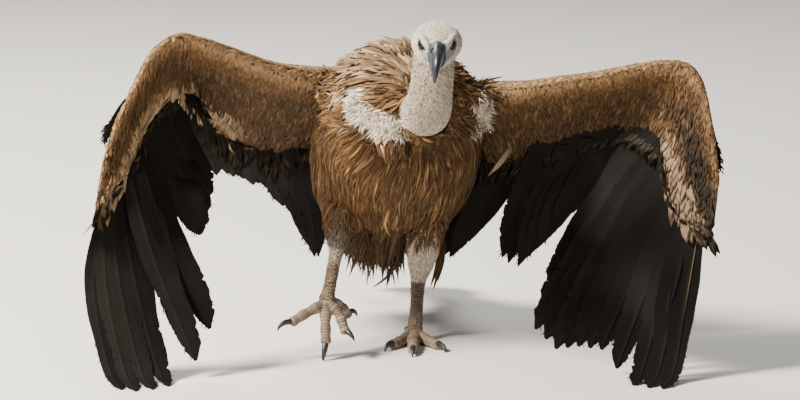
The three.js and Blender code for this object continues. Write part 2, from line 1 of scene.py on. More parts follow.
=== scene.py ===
"""Griffon vulture (Gyps fulvus), life size, striding with its wings half spread.

Design sizes are in millimetres, in the design frame of the solids: +Z up, the bird faces -Y and its left
side is +X. Every mesh is put into the row frame, in metres, when it is made.
"""

import math

import bpy
import numpy as np
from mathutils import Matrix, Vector
from mathutils.bvhtree import BVHTree


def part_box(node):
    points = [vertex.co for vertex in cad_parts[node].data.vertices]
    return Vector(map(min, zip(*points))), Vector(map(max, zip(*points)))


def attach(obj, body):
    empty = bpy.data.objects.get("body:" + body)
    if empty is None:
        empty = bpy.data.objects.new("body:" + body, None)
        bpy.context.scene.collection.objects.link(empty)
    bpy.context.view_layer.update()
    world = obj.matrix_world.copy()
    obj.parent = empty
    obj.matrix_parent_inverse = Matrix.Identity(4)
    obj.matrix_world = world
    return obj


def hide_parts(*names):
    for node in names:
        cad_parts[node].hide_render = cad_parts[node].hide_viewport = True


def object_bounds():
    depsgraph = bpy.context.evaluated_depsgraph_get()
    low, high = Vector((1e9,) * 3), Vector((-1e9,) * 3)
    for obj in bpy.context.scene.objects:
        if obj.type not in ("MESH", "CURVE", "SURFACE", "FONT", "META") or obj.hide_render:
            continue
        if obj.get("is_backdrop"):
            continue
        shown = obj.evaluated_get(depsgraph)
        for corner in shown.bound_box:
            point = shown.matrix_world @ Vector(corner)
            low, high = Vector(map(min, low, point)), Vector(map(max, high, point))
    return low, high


bl_info = {
    "name": "Griffon vulture",
    "version": (1, 0, 0),
    "blender": (4, 5, 0),
    "location": "View3D > Sidebar > Vulture",
    "description": "Builds the skin, plumage, bill, eyes and claws of a life-size griffon vulture",
    "category": "Add Mesh",
}

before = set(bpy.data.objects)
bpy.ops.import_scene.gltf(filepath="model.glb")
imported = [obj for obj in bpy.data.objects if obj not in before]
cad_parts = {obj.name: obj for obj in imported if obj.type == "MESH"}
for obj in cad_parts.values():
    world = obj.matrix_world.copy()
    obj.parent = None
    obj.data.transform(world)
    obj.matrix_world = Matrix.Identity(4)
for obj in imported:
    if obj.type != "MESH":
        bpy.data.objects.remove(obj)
CAD_BOX = [list(corner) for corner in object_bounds()]

# ---- Body plan ----

# [x, y, z, half width, half depth] of each station
TRUNK = [
    [18, -146, 416, 72, 56],
    [6, -104, 420, 120, 92],
    [-6, -45, 398, 146, 126],
    [-8, 5, 350, 150, 143],
    [-18, 65, 277, 146, 146],
    [-26, 135, 217, 127, 122],
    [-30, 200, 192, 94, 86],
    [-30, 252, 184, 58, 50],
]
RUFF = [
    [-126, -84, 432, 28, 32],
    [-86, -68, 456, 39, 38],
    [-32, -48, 484, 46, 44],
    [24, -42, 483, 46, 44],
    [84, -58, 452, 41, 38],
    [130, -76, 428, 28, 30],
]
NECK = [
    [14, -58, 436, 44, 44],
    [24, -112, 430, 43, 43],
    [34, -165, 428, 42, 41],
    [41, -214, 440, 41, 40],
    [46.5, -244, 470, 37, 38],
    [49.5, -256, 506, 36, 36],
    [53, -258, 545, 35, 34],
]
TAIL_COVERTS = [
    [-30, 222, 190, 76, 52],
    [-30, 285, 162, 66, 36],
    [-30, 345, 132, 54, 18],
]
CROP = [
    [-26, -148, 394, 22, 15],
    [-16, -160, 374, 25, 17],
    [-6, -160, 353, 20, 13],
]

# The head in its own frame, nose along -Y: [y, z, half width, half height]
HEAD_AT = np.array([56.5, -268, 562])
HEAD_PITCH = math.radians(10)
SKULL = [
    [40, 1, 24, 22],
    [24, 1, 37, 33],
    [2, 0, 42.5, 37],
    [-20, -1, 39, 35],
    [-38, -5, 29, 30],
    [-52, -7, 19.5, 25],
    [-62, -7, 14.5, 21],
]
BILL_UPPER = [
    [-54, 4, 10.9, 13],
    [-64, 3, 11.0, 13.8],
    [-74, 1, 10.7, 13.8],
    [-86, -2.5, 9.7, 13.6],
    [-96, -7.5, 8.1, 12.4],
    [-104, -15, 6.2, 10],
    [-109, -24, 4.2, 7],
    [-110, -33, 2.2, 3.6],
]
BILL_LOWER = [
    [-50, -20, 10.6, 7],
    [-72, -20.5, 9.0, 6.5],
    [-90, -21, 6.6, 5],
    [-99, -21, 4, 3],
]
EYE_RADIUS = 9.5
EYE_AT = np.array([21.5, -36, 7])

# Wing stations: leading edge, covert edge and thickness. The wrist, the bleached stretch and the extra
# primaries are places along the stations or along the row of quills.
WING_RIGHT = {
    "name": "right",
    "wrist": 5,
    "stations": [
        [-112, -62, 474, -120, 100, 345, 84],
        [-172, -85, 488, -176, 115, 317, 72],
        [-222, -110, 503, -227, 95, 320, 62],
        [-280, -135, 530, -286, 60, 340, 52],
        [-337, -155, 553, -335, 5, 387, 46],
        [-376, -165, 562, -352, -72, 440, 44],
        [-420, -175, 532, -384, -122, 444, 38],
        [-455, -190, 469, -416, -152, 415, 32],
        [-480, -203, 420, -436, -176, 372, 28],
        [-496, -218, 372, -458, -204, 328, 24],
        [-509, -234, 316, -482, -228, 300, 20],
        [-516, -250, 269, -502, -248, 262, 14],
    ],
    # Each quill: span of its root, tip, half width, and any bow of its shaft and knee in it
    "primaries": [
        [10.6, (-462, -384, 1.2), 18, (-22, 30, 0), (-482, -326, 16)],
        [10.2, (-438, -396, 1.2), 19, (-18, 25, 0), (-458, -330, 16)],
        [9.8, (-411, -382, 1.2), 20, (-14, 20, 0), (-431, -326, 16)],
        [9.3, (-386, -356, 1.2), 20, (-10, 15, 0), (-402, -316, 16)],
        [8.7, (-343, -285, 29), 25, (-10, 0, 0)],
        [8.0, (-321, -250, 76), 26, (-10, 0, 0)],
        [7.2, (-339, -145, 216), 31, (-4, 0, 0)],
        [6.4, (-334, -98, 262), 28, (4, 0, 0)],
    ],
    "secondaries": [
        [5.2, (-352, 50, 312), 25],
        [4.3, (-322, 112, 282), 26],
        [3.6, (-288, 155, 256), 27],
        [3.0, (-250, 182, 240), 27],
        [2.4, (-210, 200, 210), 27],
    ],
    "tertials": [
        [1.85, (-180, 212, 164), 24],
        [1.5, (-162, 216, 126), 23],
        [1.15, (-142, 210, 90), 22],
    ],
    "alula": [7.3, (-497, -192, 378), 13],
    "alula_chord": 0.1,
    "bleached": (3.2, 9.5),
    "extra_primaries": [6.5],
    "vanes": {"secondaries": 11, "tertials": 6},
}
WING_LEFT = {
    "name": "left",
    "wrist": 7,
    "stations": [
        [112, -56, 452, 108, 85, 318, 82],
        [164, -72, 463, 162, 62, 302, 70],
        [209, -92, 467, 204, 45, 316, 62],
        [264, -112, 479, 252, 20, 338, 54],
        [330, -135, 492, 308, -8, 358, 48],
        [399, -155, 510, 362, -42, 374, 46],
        [445, -165, 518, 404, -80, 380, 44],
        [480, -170, 512, 428, -112, 364, 42],
        [501, -177, 482, 436, -137, 334, 38],
        [514, -190, 430, 441, -166, 300, 34],
        [523, -203, 380, 450, -195, 270, 30],
        [528, -219, 325, 470, -220, 247, 24],
        [522, -236, 270, 498, -242, 232, 16],
    ],
    "primaries": [
        [11.5, (428, -378, 1.2), 19, (2, 25, 0), (448, -326, 16)],
        [11.0, (405, -370, 1.2), 20, (2, 20, 0), (423, -324, 16)],
        [10.5, (381, -350, 1.2), 20, (2, 12, 0), (397, -310, 16)],
        [9.9, (357, -252, 9), 24, (2, 5, 0)],
        [9.3, (333, -198, 30), 24],
        [8.6, (296, -150, 26), 26],
        [7.9, (259, -112, 14), 27],
        [7.2, (226, -72, 40), 27],
        [6.4, (250, -22, 104), 27],
    ],
    "secondaries": [
        [5.7, (254, 62, 190), 24],
        [4.8, (226, 84, 150), 25],
        [4.0, (192, 100, 118), 26],
        [3.3, (166, 114, 112), 25],
    ],
    "tertials": [
        [2.5, (86, 184, 116), 25],
        [1.9, (70, 198, 112), 25],
        [1.3, (64, 206, 134), 24],
    ],
    "alula": [9.2, (529, -204, 334), 12],
    "alula_chord": 0.08,
    "bleached": (7.4, 10.6),
    "extra_primaries": [4.5, 5.5, 6.5, 7.5],
    "vanes": {"secondaries": 8, "tertials": 6},
}
WINGS = (WING_RIGHT, WING_LEFT)
ROOT_CHORD = 0.82  # where the quills root, as a share of the chord
CAMBER = 0.07

TAIL = {"root": (-30, 285, 166), "length": 205, "drop": 0.5, "spread": 0.36, "quills": 11, "half": 22}

LEG_RIGHT = {
    "name": "right",
    "thigh": [[-80, 82, 256, 52, 60], [-92, 40, 240, 50, 55], [-102, 6, 214, 35, 40]],
    "shank": [
        [-101, 14, 226, 29, 33],
        [-107, -4, 197, 26, 30],
        [-111, -15, 178, 15.5, 17],
        [-113, -20, 165, 11.5, 13.5],
        [-118, -46, 139, 10.2, 11.2],
        [-124, -74, 110, 10.2, 11],
        [-128, -90, 94, 13.5, 12],
    ],
    "hock": 2.6,
}
LEG_LEFT = {
    "name": "left",
    "thigh": [[48, 104, 256, 50, 60], [45, 72, 230, 46, 54], [41, 48, 198, 37, 40]],
    "shank": [
        [40, 50, 204, 31, 34],
        [36, 57, 166, 30, 32],
        [32, 74, 130, 26, 27],
        [28, 89, 99, 14, 15.5],
        [26, 84, 82, 11.5, 13],
        [24, 56, 50, 10.4, 11.5],
        [21, 24, 18, 13, 12],
    ],
    "hock": 3.3,
}
LEGS = (LEG_RIGHT, LEG_LEFT)

# [x, y, z, radius] of each toe from its root, and of each claw to its point
TOES = {
    "right": {
        "outer": (
            [[-130, -96, 88, 9], [-157, -110, 78, 7.5], [-184, -125, 64, 7.8]],
            [[-184, -125, 64, 5.5], [-198, -134, 64, 4.6], [-207, -139, 58, 2.8], [-210, -140, 51, 0.8]],
        ),
        "middle": (
            [[-129, -97, 88, 10], [-130, -113, 60, 8], [-129, -127, 31, 8.2]],
            [[-129, -127, 31, 5.8], [-131, -136, 19, 5], [-133, -139, 8, 3.4], [-134, -138, -1, 1.8]],
        ),
        "inner": (
            [[-126, -97, 88, 9], [-108, -108, 74, 7.5], [-97, -122, 48, 7.8]],
            [[-97, -122, 48, 5.5], [-90, -132, 46, 4.8], [-84, -138, 40, 3], [-81, -139, 33, 0.8]],
        ),
        "hind": (
            [[-124, -86, 91, 8.5], [-104, -73, 80, 7.2], [-93, -62, 64, 7.5]],
            [[-93, -62, 64, 5.5], [-86, -53, 68, 4.8], [-80, -48, 65, 3], [-77, -46, 57, 0.8]],
        ),
    },
    "left": {
        "outer": (
            [[24, 16, 13, 9], [43, -14, 8, 8.5], [59, -44, 6.4, 8]],
            [[59, -44, 7.5, 5.5], [66, -57, 10, 4.6], [71, -67, 7.5, 3], [73, -73, 0.4, 1.2]],
        ),
        "middle": (
            [[21, 14, 13, 10], [19, -32, 8, 9], [18, -78, 6.6, 8.4]],
            [[18, -78, 8, 6], [17.5, -94, 11, 5], [17, -106, 8.5, 3.2], [17, -113, 0.4, 1.2]],
        ),
        "inner": (
            [[17, 16, 13, 9], [0, -12, 8, 8.6], [-15, -38, 6.6, 8.2]],
            [[-15, -38, 8, 6], [-22, -51, 11, 5], [-27, -61, 8.5, 3.2], [-30, -67, 0.4, 1.2]],
        ),
        "hind": (
            [[19, 30, 13, 8.5], [15, 46, 8.4, 8], [11, 61, 6.4, 7.8]],
            [[11, 61, 7.5, 5.8], [8, 75, 11, 5], [6, 86, 8.5, 3.2], [5, 92, 0.4, 1.2]],
        ),
    },
}

FLESH = (
    ["head", "neck", "trunk", "ruff", "tail_coverts"]
    + [f"wing_{w['name']}_{piece}" for w in WINGS for piece in ("upper_arm", "forearm", "hand")]
    + [f"leg_{leg['name']}_{piece}" for leg in LEGS for piece in ("thigh", "shank", "tarsus")]
    + [f"toe_{side}_{toe}" for side, toes in TOES.items() for toe in toes]
)

# ---- Vectors and curves ----

FLOOR_GAP = 0.0002  # metres


def unit(v):
    return v / np.maximum(np.linalg.norm(v, axis=-1, keepdims=True), 1e-9)


def norm(v):
    return np.linalg.norm(v, axis=1)


def dot(a, b):
    return np.sum(a * b, axis=-1, keepdims=True)


def across(a, tangent):
    """The part of a that is square to the tangent, as a unit vector."""
    return unit(a - tangent * dot(a, tangent))


def ease(low, high, value):
    """A smooth step from 0 at low to 1 at high."""
    t = np.clip((np.asarray(value, float) - low) / (high - low), 0, 1)
    return t * t * (3 - 2 * t)


def sample(stations, t):
    """Smooth rows of a station table at the spans t."""
    rows = np.asarray(stations, float)
    last = len(rows) - 1
    t = np.clip(np.atleast_1d(np.asarray(t, float)), 0, last)
    i = np.minimum(t.astype(int), last - 1)
    f = (t - i)[:, None]
    a, b = rows[np.maximum(i - 1, 0)], rows[i]
    c, d = rows[i + 1], rows[np.minimum(i + 2, last)]
    return b + 0.5 * f * (c - a + f * (2 * a - 5 * b + 4 * c - d + f * (3 * (b - c) + d - a)))


def on_head(points):
    """Points of the head's own frame, set on the neck."""
    c, s = math.cos(HEAD_PITCH), math.sin(HEAD_PITCH)
    x, y, z = np.moveaxis(np.asarray(points, float), -1, 0)
    return np.stack([x, y * c - z * s, y * s + z * c], axis=-1) + HEAD_AT


def to_head(points):
    """The other way: design points in the head's own frame."""
    c, s = math.cos(HEAD_PITCH), math.sin(HEAD_PITCH)
    x, y, z = np.moveaxis(np.asarray(points, float) - HEAD_AT, -1, 0)
    return np.stack([x, y * c + z * s, -y * s + z * c], axis=-1)


def row_shift():
    """From the design frame to the row frame, in metres, read off the eyes."""
    corners = [np.array(c) for node in ("eye_right", "eye_left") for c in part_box(node)]
    return np.mean(corners, axis=0) - on_head([0, EYE_AT[1], EYE_AT[2]]) / 1000


SHIFT = row_shift()


def to_row(points):
    """Design millimetres as row-frame metres, with nothing under the floor."""
    placed = np.asarray(points, float) / 1000 + SHIFT
    placed[..., 2] = np.maximum(placed[..., 2], FLOOR_GAP)
    return placed


def shaft_line(points, count):
    """A smooth line through a few points, at even steps of its length."""
    points = np.asarray(points, float)
    padded = np.vstack([2 * points[0] - points[1], points, 2 * points[-1] - points[-2]])
    knots = np.concatenate([[0], np.cumsum(norm(np.diff(padded, axis=0)) ** 0.5)])
    dense = []
    for i in range(1, len(padded) - 2):
        p, k = padded[i - 1 : i + 3], knots[i - 1 : i + 3]
        t = np.linspace(k[1], k[2], 24, endpoint=i == len(padded) - 3)[:, None]
        a = [((k[j + 1] - t) * p[j] + (t - k[j]) * p[j + 1]) / (k[j + 1] - k[j]) for j in range(3)]
        b = [((k[j + 2] - t) * a[j] + (t - k[j]) * a[j + 1]) / (k[j + 2] - k[j]) for j in range(2)]
        dense.append(((k[2] - t) * b[0] + (t - k[1]) * b[1]) / (k[2] - k[1]))
    dense = np.vstack(dense)
    travelled = np.concatenate([[0], np.cumsum(norm(np.diff(dense, axis=0)))])
    even = np.linspace(0, travelled[-1], count)
    return np.stack([np.interp(even, travelled, dense[:, k]) for k in range(3)], axis=1)


# ---- Surfaces that feathers grow on ----

ROUND = (0, 2 * math.pi)


class Loft:
    """A round body along stations of [x, y, z, half width, half depth], sunk by the coat's depth."""

    def __init__(self, stations, depth=0.0, power=2.0, cap=0.5, side=(1, 0, 0), place=None):
        self.rows = [row if len(row) == 5 else [*row, row[3]] for row in stations]
        self.last = len(self.rows) - 1
        self.depth, self.power, self.cap = depth, power, cap
        self.side = np.array(side, float)
        self.place = place

    def at(self, t, angle):
        t, angle = np.asarray(t, float), np.asarray(angle, float)
        core = np.clip(t, 0, self.last)
        over = np.clip(np.where(t < 0, -t, t - self.last), 0, 1)
        row = sample(self.rows, core)
        nudge = 0.08
        tangent = unit(sample(self.rows, core + nudge)[:, :3] - sample(self.rows, core - nudge)[:, :3])
        side = across(self.side, tangent)
        up = np.cross(side, tangent)
        radii = np.maximum(row[:, 3:5] - self.depth, 0.4)
        dome = (self.cap * radii.min(axis=1) * np.sin(over * math.pi / 2) * np.sign(t - core))[:, None]
        radii = radii * np.cos(over * math.pi / 2)[:, None]
        c, s = np.cos(angle), np.sin(angle)
        u = np.sign(c) * np.abs(c) ** (2 / self.power) * radii[:, 0]
        v = np.sign(s) * np.abs(s) ** (2 / self.power) * radii[:, 1]
        points = row[:, :3] + tangent * dome + side * u[:, None] + up * v[:, None]
        return self.place(points) if self.place else points

    def shell(self, sides, steps):
        """The closed mesh of the body: points and faces."""
        caps = np.linspace(0, 1, 6)[1:-1]
        middle = np.linspace(0, self.last, self.last * steps + 1)
        spans = np.concatenate([-caps[::-1], middle, self.last + caps])
        grid_t, grid_a = np.meshgrid(spans, np.arange(sides) * 2 * math.pi / sides, indexing="ij")
        rings = self.at(grid_t.ravel(), grid_a.ravel())
        poles = self.at([-1, self.last + 1], [0, 0])
        return closed_shell(rings, poles, sides)


def closed_shell(rings, poles, sides):
    """Rings of points closed by a pole at each end, as points and quads or triangles."""
    count = len(rings) // sides
    k = np.arange(sides)
    following = (k + 1) % sides
    faces = []
    for r in range(count - 1):
        a, b = r * sides, (r + 1) * sides
        faces += np.stack([a + k, a + following, b + following, b + k], axis=1).tolist()
    first, end, tail = len(rings), len(rings) + 1, (count - 1) * sides
    faces += np.stack([following, k, np.full(sides, first)], axis=1).tolist()
    faces += np.stack([tail + k, tail + following, np.full(sides, end)], axis=1).tolist()
    points = np.vstack([rings, poles])
    return points, facing_out(points, faces)


def facing_out(points, faces):
    """The faces of a closed shell, turned so that they look outward."""
    halves = np.array([f[:3] for f in faces] + [(f[0], f[2], f[3]) for f in faces if len(f) == 4])
    a, b, c = (points[halves[:, k]] - points[0] for k in range(3))
    return faces if np.sum(a * np.cross(b, c)) > 0 else [f[::-1] for f in faces]


class WingArm:
    """The arm and hand of a wing. A place on it is a span t and a chord share u from the leading edge."""

    def __init__(self, wing, depth=0.0):
        self.rows = wing["stations"]
        self.last = len(self.rows) - 1.001
        self.depth = depth

    def frame(self, t):
        t = np.clip(np.atleast_1d(np.asarray(t, float)), 0, self.last)
        row = sample(self.rows, t)
        lead, chord = row[:, :3], row[:, 3:6] - row[:, :3]
        a, b = sample(self.rows, t - 0.1), sample(self.rows, t + 0.1)
        outward = unit((b - a)[:, :3] + (b - a)[:, 3:6])
        up = unit(np.cross(chord, outward))
        up *= np.where(up[:, 1:2] < 0, -1, 1)
        return lead, chord, up, row[:, 6]

    def middle(self, t, u):
        lead, chord, up, _ = self.frame(t)
        u = np.asarray(u, float)[..., None]
        return lead + chord * u + up * 4 * CAMBER * norm(chord)[:, None] * u * (1 - u)

    def at(self, t, u, side):
        """A point of the surface, on the upper side for side 1 and on the under side for side -1."""
        t, u = np.broadcast_arrays(np.asarray(t, float), np.asarray(u, float))
        _, chord, up, thick = self.frame(t)
        length = norm(chord)
        margin = np.clip(self.depth * 0.8 / length, 0, 0.3)
        u = margin + u * (1 - 2 * margin)
        rise = 2 * np.sqrt(np.clip((u - margin) * (1 - margin - u), 0, 1)) / (1 - 2 * margin)
        half = np.maximum(thick / 2 - self.depth, thick * 0.16) * rise * (1.22 - 0.78 * u)
        return self.middle(t, u) + up * (side * half)[:, None]

    def shell(self, sides, steps):
        spans = np.linspace(0, self.last, int(self.last * steps) + 1)
        angles = np.arange(sides) * 2 * math.pi / sides
        grid_t, grid_a = np.meshgrid(spans, angles, indexing="ij")
        side = np.where(grid_a.ravel() <= math.pi, 1.0, -1.0)
        rings = self.at(grid_t.ravel(), (1 - np.cos(grid_a.ravel())) / 2, side)
        ends = self.middle([0, self.last], [0.5, 0.5])
        return closed_shell(rings, ends, sides)


class Face:
    """One side of a wing arm. Its w runs evenly round the section, from 0 at the leading edge to 1."""

    def __init__(self, arm, side):
        self.arm, self.side = arm, side

    def at(self, t, w):
        return self.arm.at(t, (1 - np.cos(math.pi * np.asarray(w))) / 2, self.side)


def read_vertices(mesh, field):
    values = np.empty(len(mesh.vertices) * 3, np.float32)
    mesh.vertices.foreach_get(field, values)
    return values.reshape(-1, 3)


def design_points(mesh):
    """A mesh's points in the design frame."""
    return (read_vertices(mesh, "co").astype(float) - SHIFT) * 1000


class Skin:
    """The bird's skin, to find the nearest place on it."""

    def __init__(self, obj):
        normals = read_vertices(obj.data, "normal")
        polygons = [tuple(p.vertices) for p in obj.data.polygons]
        self.normals = unit(np.array([normals[list(p)].sum(axis=0) for p in polygons]))
        self.tree = BVHTree.FromPolygons(design_points(obj.data).tolist(), polygons)

    def nearest(self, points):
        """The nearest place on the skin, its smooth normal and how far off it is."""
        found = [self.tree.find_nearest(p) for p in points.tolist()]
        places = np.array([f[0] for f in found]).reshape(-1, 3)
        normals = self.normals[[f[2] for f in found]]
        return places, normals, np.array([f[3] for f in found])


def scatter(surface, spacing, t_range, w_range, rng, keep):
    """Places about `spacing` apart over a stretch of a surface, with the ways that t and w run there."""
    grid = np.meshgrid(np.linspace(*t_range, 60), np.linspace(*w_range, 60), indexing="ij")
    stretch = surface_stretch(surface, grid[0].ravel(), grid[1].ravel(), t_range, w_range)[3]
    area = stretch.mean() * (t_range[1] - t_range[0]) * (w_range[1] - w_range[0])
    tries = int(7 * area / spacing**2)
    t = rng.uniform(*t_range, tries)
    w = rng.uniform(*w_range, tries)
    points, along_t, along_w, stretch = surface_stretch(surface, t, w, t_range, w_range)
    chosen = rng.uniform(0, 1, tries) < stretch / np.percentile(stretch, 98)
    if keep is not None:
        chosen &= keep(points, t, w)
    picks = np.flatnonzero(chosen)
    cells = np.floor(points[picks] / spacing + 0.5).astype(np.int64)
    _, firsts = np.unique(cells @ np.array([1, 10007, 100160063]), return_index=True)
    picks = np.sort(picks[firsts])
    return points[picks], t[picks], w[picks], along_t[picks], along_w[picks]


def surface_stretch(surface, t, w, t_range, w_range):
    """Points, unit ways along t and w, and the area for each unit of t and w."""
    dt, dw = 1e-3 * (t_range[1] - t_range[0]), 1e-3 * (w_range[1] - w_range[0])
    points = surface.at(t, w)
    along_t = (surface.at(t + dt, w) - surface.at(t - dt, w)) / (2 * dt)
    along_w = (surface.at(t, w + dw) - surface.at(t, w - dw)) / (2 * dw)
    return points, unit(along_t), unit(along_w), norm(np.cross(along_t, along_w))


# ---- Meshes of many feathers ----

PATCH = 0.003  # a small feather's size on the map
THREE_CORNERS = np.array([0.0, 0.5, 1.0])


class Feathers:
    """Collects many thin closed feathers and makes one mesh of them."""

    def __init__(self):
        self.points, self.loops, self.starts = [], [], []
        self.vane, self.marks, self.uvs = [], [], []
        self.count, self.corners = 0, 0

    def add(self, rings, across_share, marks, uv, rng, pointed=True):
        """Adds feathers: rings are (feathers, stretches, corners, 3), and marks are (feathers, 4).

        The map places are (feathers, 2), or there is one for each point.
        """
        n, m, r, _ = rings.shape
        per = (m - 1) * r + 1 if pointed else m * r
        flat = rings.reshape(n, m * r, 3)
        along = np.repeat(np.linspace(0, 1, m), r)
        width = np.tile(across_share, m)
        if pointed:
            flat = np.concatenate([flat[:, : (m - 1) * r], rings[:, -1].mean(axis=1)[:, None]], axis=1)
            along = along[:per]
            width = np.append(width[: (m - 1) * r], 0.5)
        faces = []
        for k in range(m - 2 if pointed else m - 1):
            for j in range(r):
                after = (j + 1) % r
                faces.append([k * r + j, k * r + after, (k + 1) * r + after, (k + 1) * r + j])
        if pointed:
            tail = (m - 2) * r
            faces += [[tail + j, tail + (j + 1) % r, per - 1] for j in range(r)]
        else:
            faces.append(list(range((m - 1) * r, m * r)))
        faces.append(list(range(r))[::-1])
        loops = np.concatenate([np.array(f) for f in faces])
        sizes = np.array([len(f) for f in faces])
        starts = np.concatenate([[0], np.cumsum(sizes)[:-1]])
        offsets = self.count + per * np.arange(n)
        self.loops.append((loops[None] + offsets[:, None]).ravel())
        self.starts.append((starts[None] + self.corners + len(loops) * np.arange(n)[:, None]).ravel())
        self.points.append(flat.reshape(-1, 3))
        lot = rng.uniform(0, 1, n)
        self.vane.append(np.stack([np.tile(width, n), np.tile(along, n), np.repeat(lot, per)], axis=1))
        self.marks.append(np.repeat(marks, per, axis=0))
        if uv.ndim == 2:
            patch = np.stack([width - 0.5, along - 0.5], axis=1) * PATCH
            uv = uv[:, None] + patch[None]
        self.uvs.append(uv.reshape(-1, 2))
        self.count += per * n
        self.corners += len(loops) * n

    def build(self, name):
        mesh = bpy.data.meshes.new(name)
        points = to_row(np.vstack(self.points))
        loops = np.concatenate(self.loops).astype(np.int32)
        starts = np.concatenate(self.starts).astype(np.int32)
        mesh.vertices.add(len(points))
        mesh.vertices.foreach_set("co", points.astype(np.float32).ravel())
        mesh.loops.add(len(loops))
        mesh.loops.foreach_set("vertex_index", loops)
        mesh.polygons.add(len(starts))
        mesh.polygons.foreach_set("loop_start", starts)
        mesh.update(calc_edges=True)
        smooth_shaded(mesh)
        set_attribute(mesh, "Vane", "FLOAT_VECTOR", "vector", np.vstack(self.vane))
        set_attribute(mesh, "Marks", "FLOAT_COLOR", "color", np.vstack(self.marks))
        layer = mesh.uv_layers.new(name="OFBake")
        layer.uv.foreach_set("vector", np.vstack(self.uvs)[loops].astype(np.float32).ravel())
        crease_rims(mesh, np.vstack(self.vane)[:, 0])
        return linked(name, mesh)


def crease_rims(mesh, share):
    """Marks the two rims of every feather as sharp, so that its flat webs don't shade as a tube."""
    ends = np.empty(len(mesh.edges) * 2, np.int32)
    mesh.edges.foreach_get("vertices", ends)
    a, b = share[ends].reshape(-1, 2).T
    rims = (np.abs(a - b) < 1e-6) & (np.abs(a - 0.5) > 0.49)
    crease = mesh.attributes.new("sharp_edge", "BOOLEAN", "EDGE")
    crease.data.foreach_set("value", rims)


def set_attribute(mesh, name, kind, field, values):
    attribute = mesh.attributes.new(name, kind, "POINT")
    attribute.data.foreach_set(field, np.asarray(values, np.float32).ravel())


def linked(name, mesh):
    obj = bpy.data.objects.new(name, mesh)
    bpy.context.scene.collection.objects.link(obj)
    return obj


def plain_mesh(name, shells):
    """One mesh of several closed shells, in the row frame."""
    points, faces, count = [], [], 0
    for shell_points, shell_faces in shells:
        points.append(shell_points)
        faces += [[i + count for i in face] for face in shell_faces]
        count += len(shell_points)
    mesh = bpy.data.meshes.new(name)
    mesh.from_pydata(to_row(np.vstack(points)).tolist(), [], faces)
    mesh.update()
    return mesh


def smooth_shaded(mesh):
    mesh.polygons.foreach_set("use_smooth", np.ones(len(mesh.polygons), bool))


# Shares of the width along a feather, from its root to its tip
LANCET = np.array([0.55, 1.0, 0.82, 0.42, 0.0])
ROUNDED = np.array([0.5, 0.95, 1.0, 0.8, 0.0])
WISP = np.array([0.8, 0.7, 0.0])
LONG = np.array([0.5, 0.95, 1.0, 0.78, 0.45, 0.0])
SCALY = np.array([0.7, 1.0, 0.9, 0.55, 0.0])


RISE = 0.8  # how soon a feather rises off the skin: 1 for evenly, less for sooner
BURIED = 0.4  # how far a root lies in the skin


def lay(skin, roots, normals, heading, length, steps, lift):
    """Lines that set out from the skin along a heading and follow it, rising to `lift` at the tip."""
    here, normal = roots, normals
    way = across(heading, normal)
    stride = (length / steps)[:, None]
    line, sides = [here], [normal]
    for _ in range(steps):
        target = here + way * stride
        place, found, off = skin.nearest(target)
        free = (dot(found, normal) < 0.3) | (off[:, None] > 0.7 * stride)
        after = np.where(free, target, place)
        normal = unit(np.where(free, normal, 0.5 * normal + 0.5 * found))
        way = across(unit(after - here), normal)
        here = after
        line.append(here)
        sides.append(normal)
    share = np.linspace(0, 1, steps + 1)[None, :, None] ** RISE
    line, sides = np.stack(line, axis=1), np.stack(sides, axis=1)
    return line + sides * (share * lift[:, None, None] - BURIED), sides


def vanes(line, sides, width, shape, keel, tilt):
    """Three-cornered rings round each line: both edges, and the shaft between them standing proud."""
    tangent = unit(np.gradient(line, axis=1))
    edge = unit(np.cross(tangent, sides))
    up = np.cross(edge, tangent)
    c, s = np.cos(tilt)[:, None, None], np.sin(tilt)[:, None, None]
    edge, up = edge * c + up * s, up * c - edge * s
    half = 0.5 * width[:, None, None] * shape[None, :, None]
    ridge = keel[:, None, None] * (0.25 + 0.75 * shape[None, :, None])
    return np.stack([line - edge * half, line + up * ridge, line + edge * half], axis=2)


def spread_uv(t, w, t_range, w_range, box):
    """Places on the unwrap of a surface: t and w over one box of the map."""
    u = (t - t_range[0]) / (t_range[1] - t_range[0])
    v = (w - w_range[0]) / (w_range[1] - w_range[0])
    return np.stack([box[0] + u * (box[2] - box[0]), box[1] + v * (box[3] - box[1])], axis=1)


def grow(batch, skin, surface, rng, spacing, t_range, w_range, box, *, length, width, lift, keel, wander,
         marks, shape=LANCET, heading=None, tilt=0.25, keep=None, reach=4.0, hang=0.0):
    """Covers a stretch of a surface with feathers. Sizes and marks may depend on the place."""
    points, t, w, along_t, along_w = scatter(surface, spacing, t_range, w_range, rng, keep)
    roots, normals, off = skin.nearest(points)
    near = off < reach
    roots, normals, t, w, along_t, along_w = (v[near] for v in (roots, normals, t, w, along_t, along_w))
    n = len(roots)
    if n == 0:
        return
    ways = heading(roots, t, w, along_t, along_w) if heading else along_t
    sideways = np.cross(normals, ways)
    ways = ways + sideways * rng.normal(0, wander, n)[:, None]
    value = lambda v: v(roots, t, w) if callable(v) else np.full(n, float(v))
    long = value(length) * rng.uniform(0.8, 1.2, n)
    wide = value(width) * rng.uniform(0.8, 1.2, n)
    high = value(lift) * rng.uniform(0.5, 1.3, n)
    line, sides = lay(skin, roots, normals, ways, long, len(shape) - 1, high)
    droop = value(hang) * rng.uniform(0.4, 1.4, n)
    line[..., 2] -= droop[:, None] * np.linspace(0, 1, len(shape))[None] ** 2
    rings = vanes(line, sides, wide, shape, value(keel), rng.normal(0, tilt, n))
    places = spread_uv(t, w, t_range, w_range, box)
    batch.add(rings, THREE_CORNERS, marks(roots, t, w), places, rng)


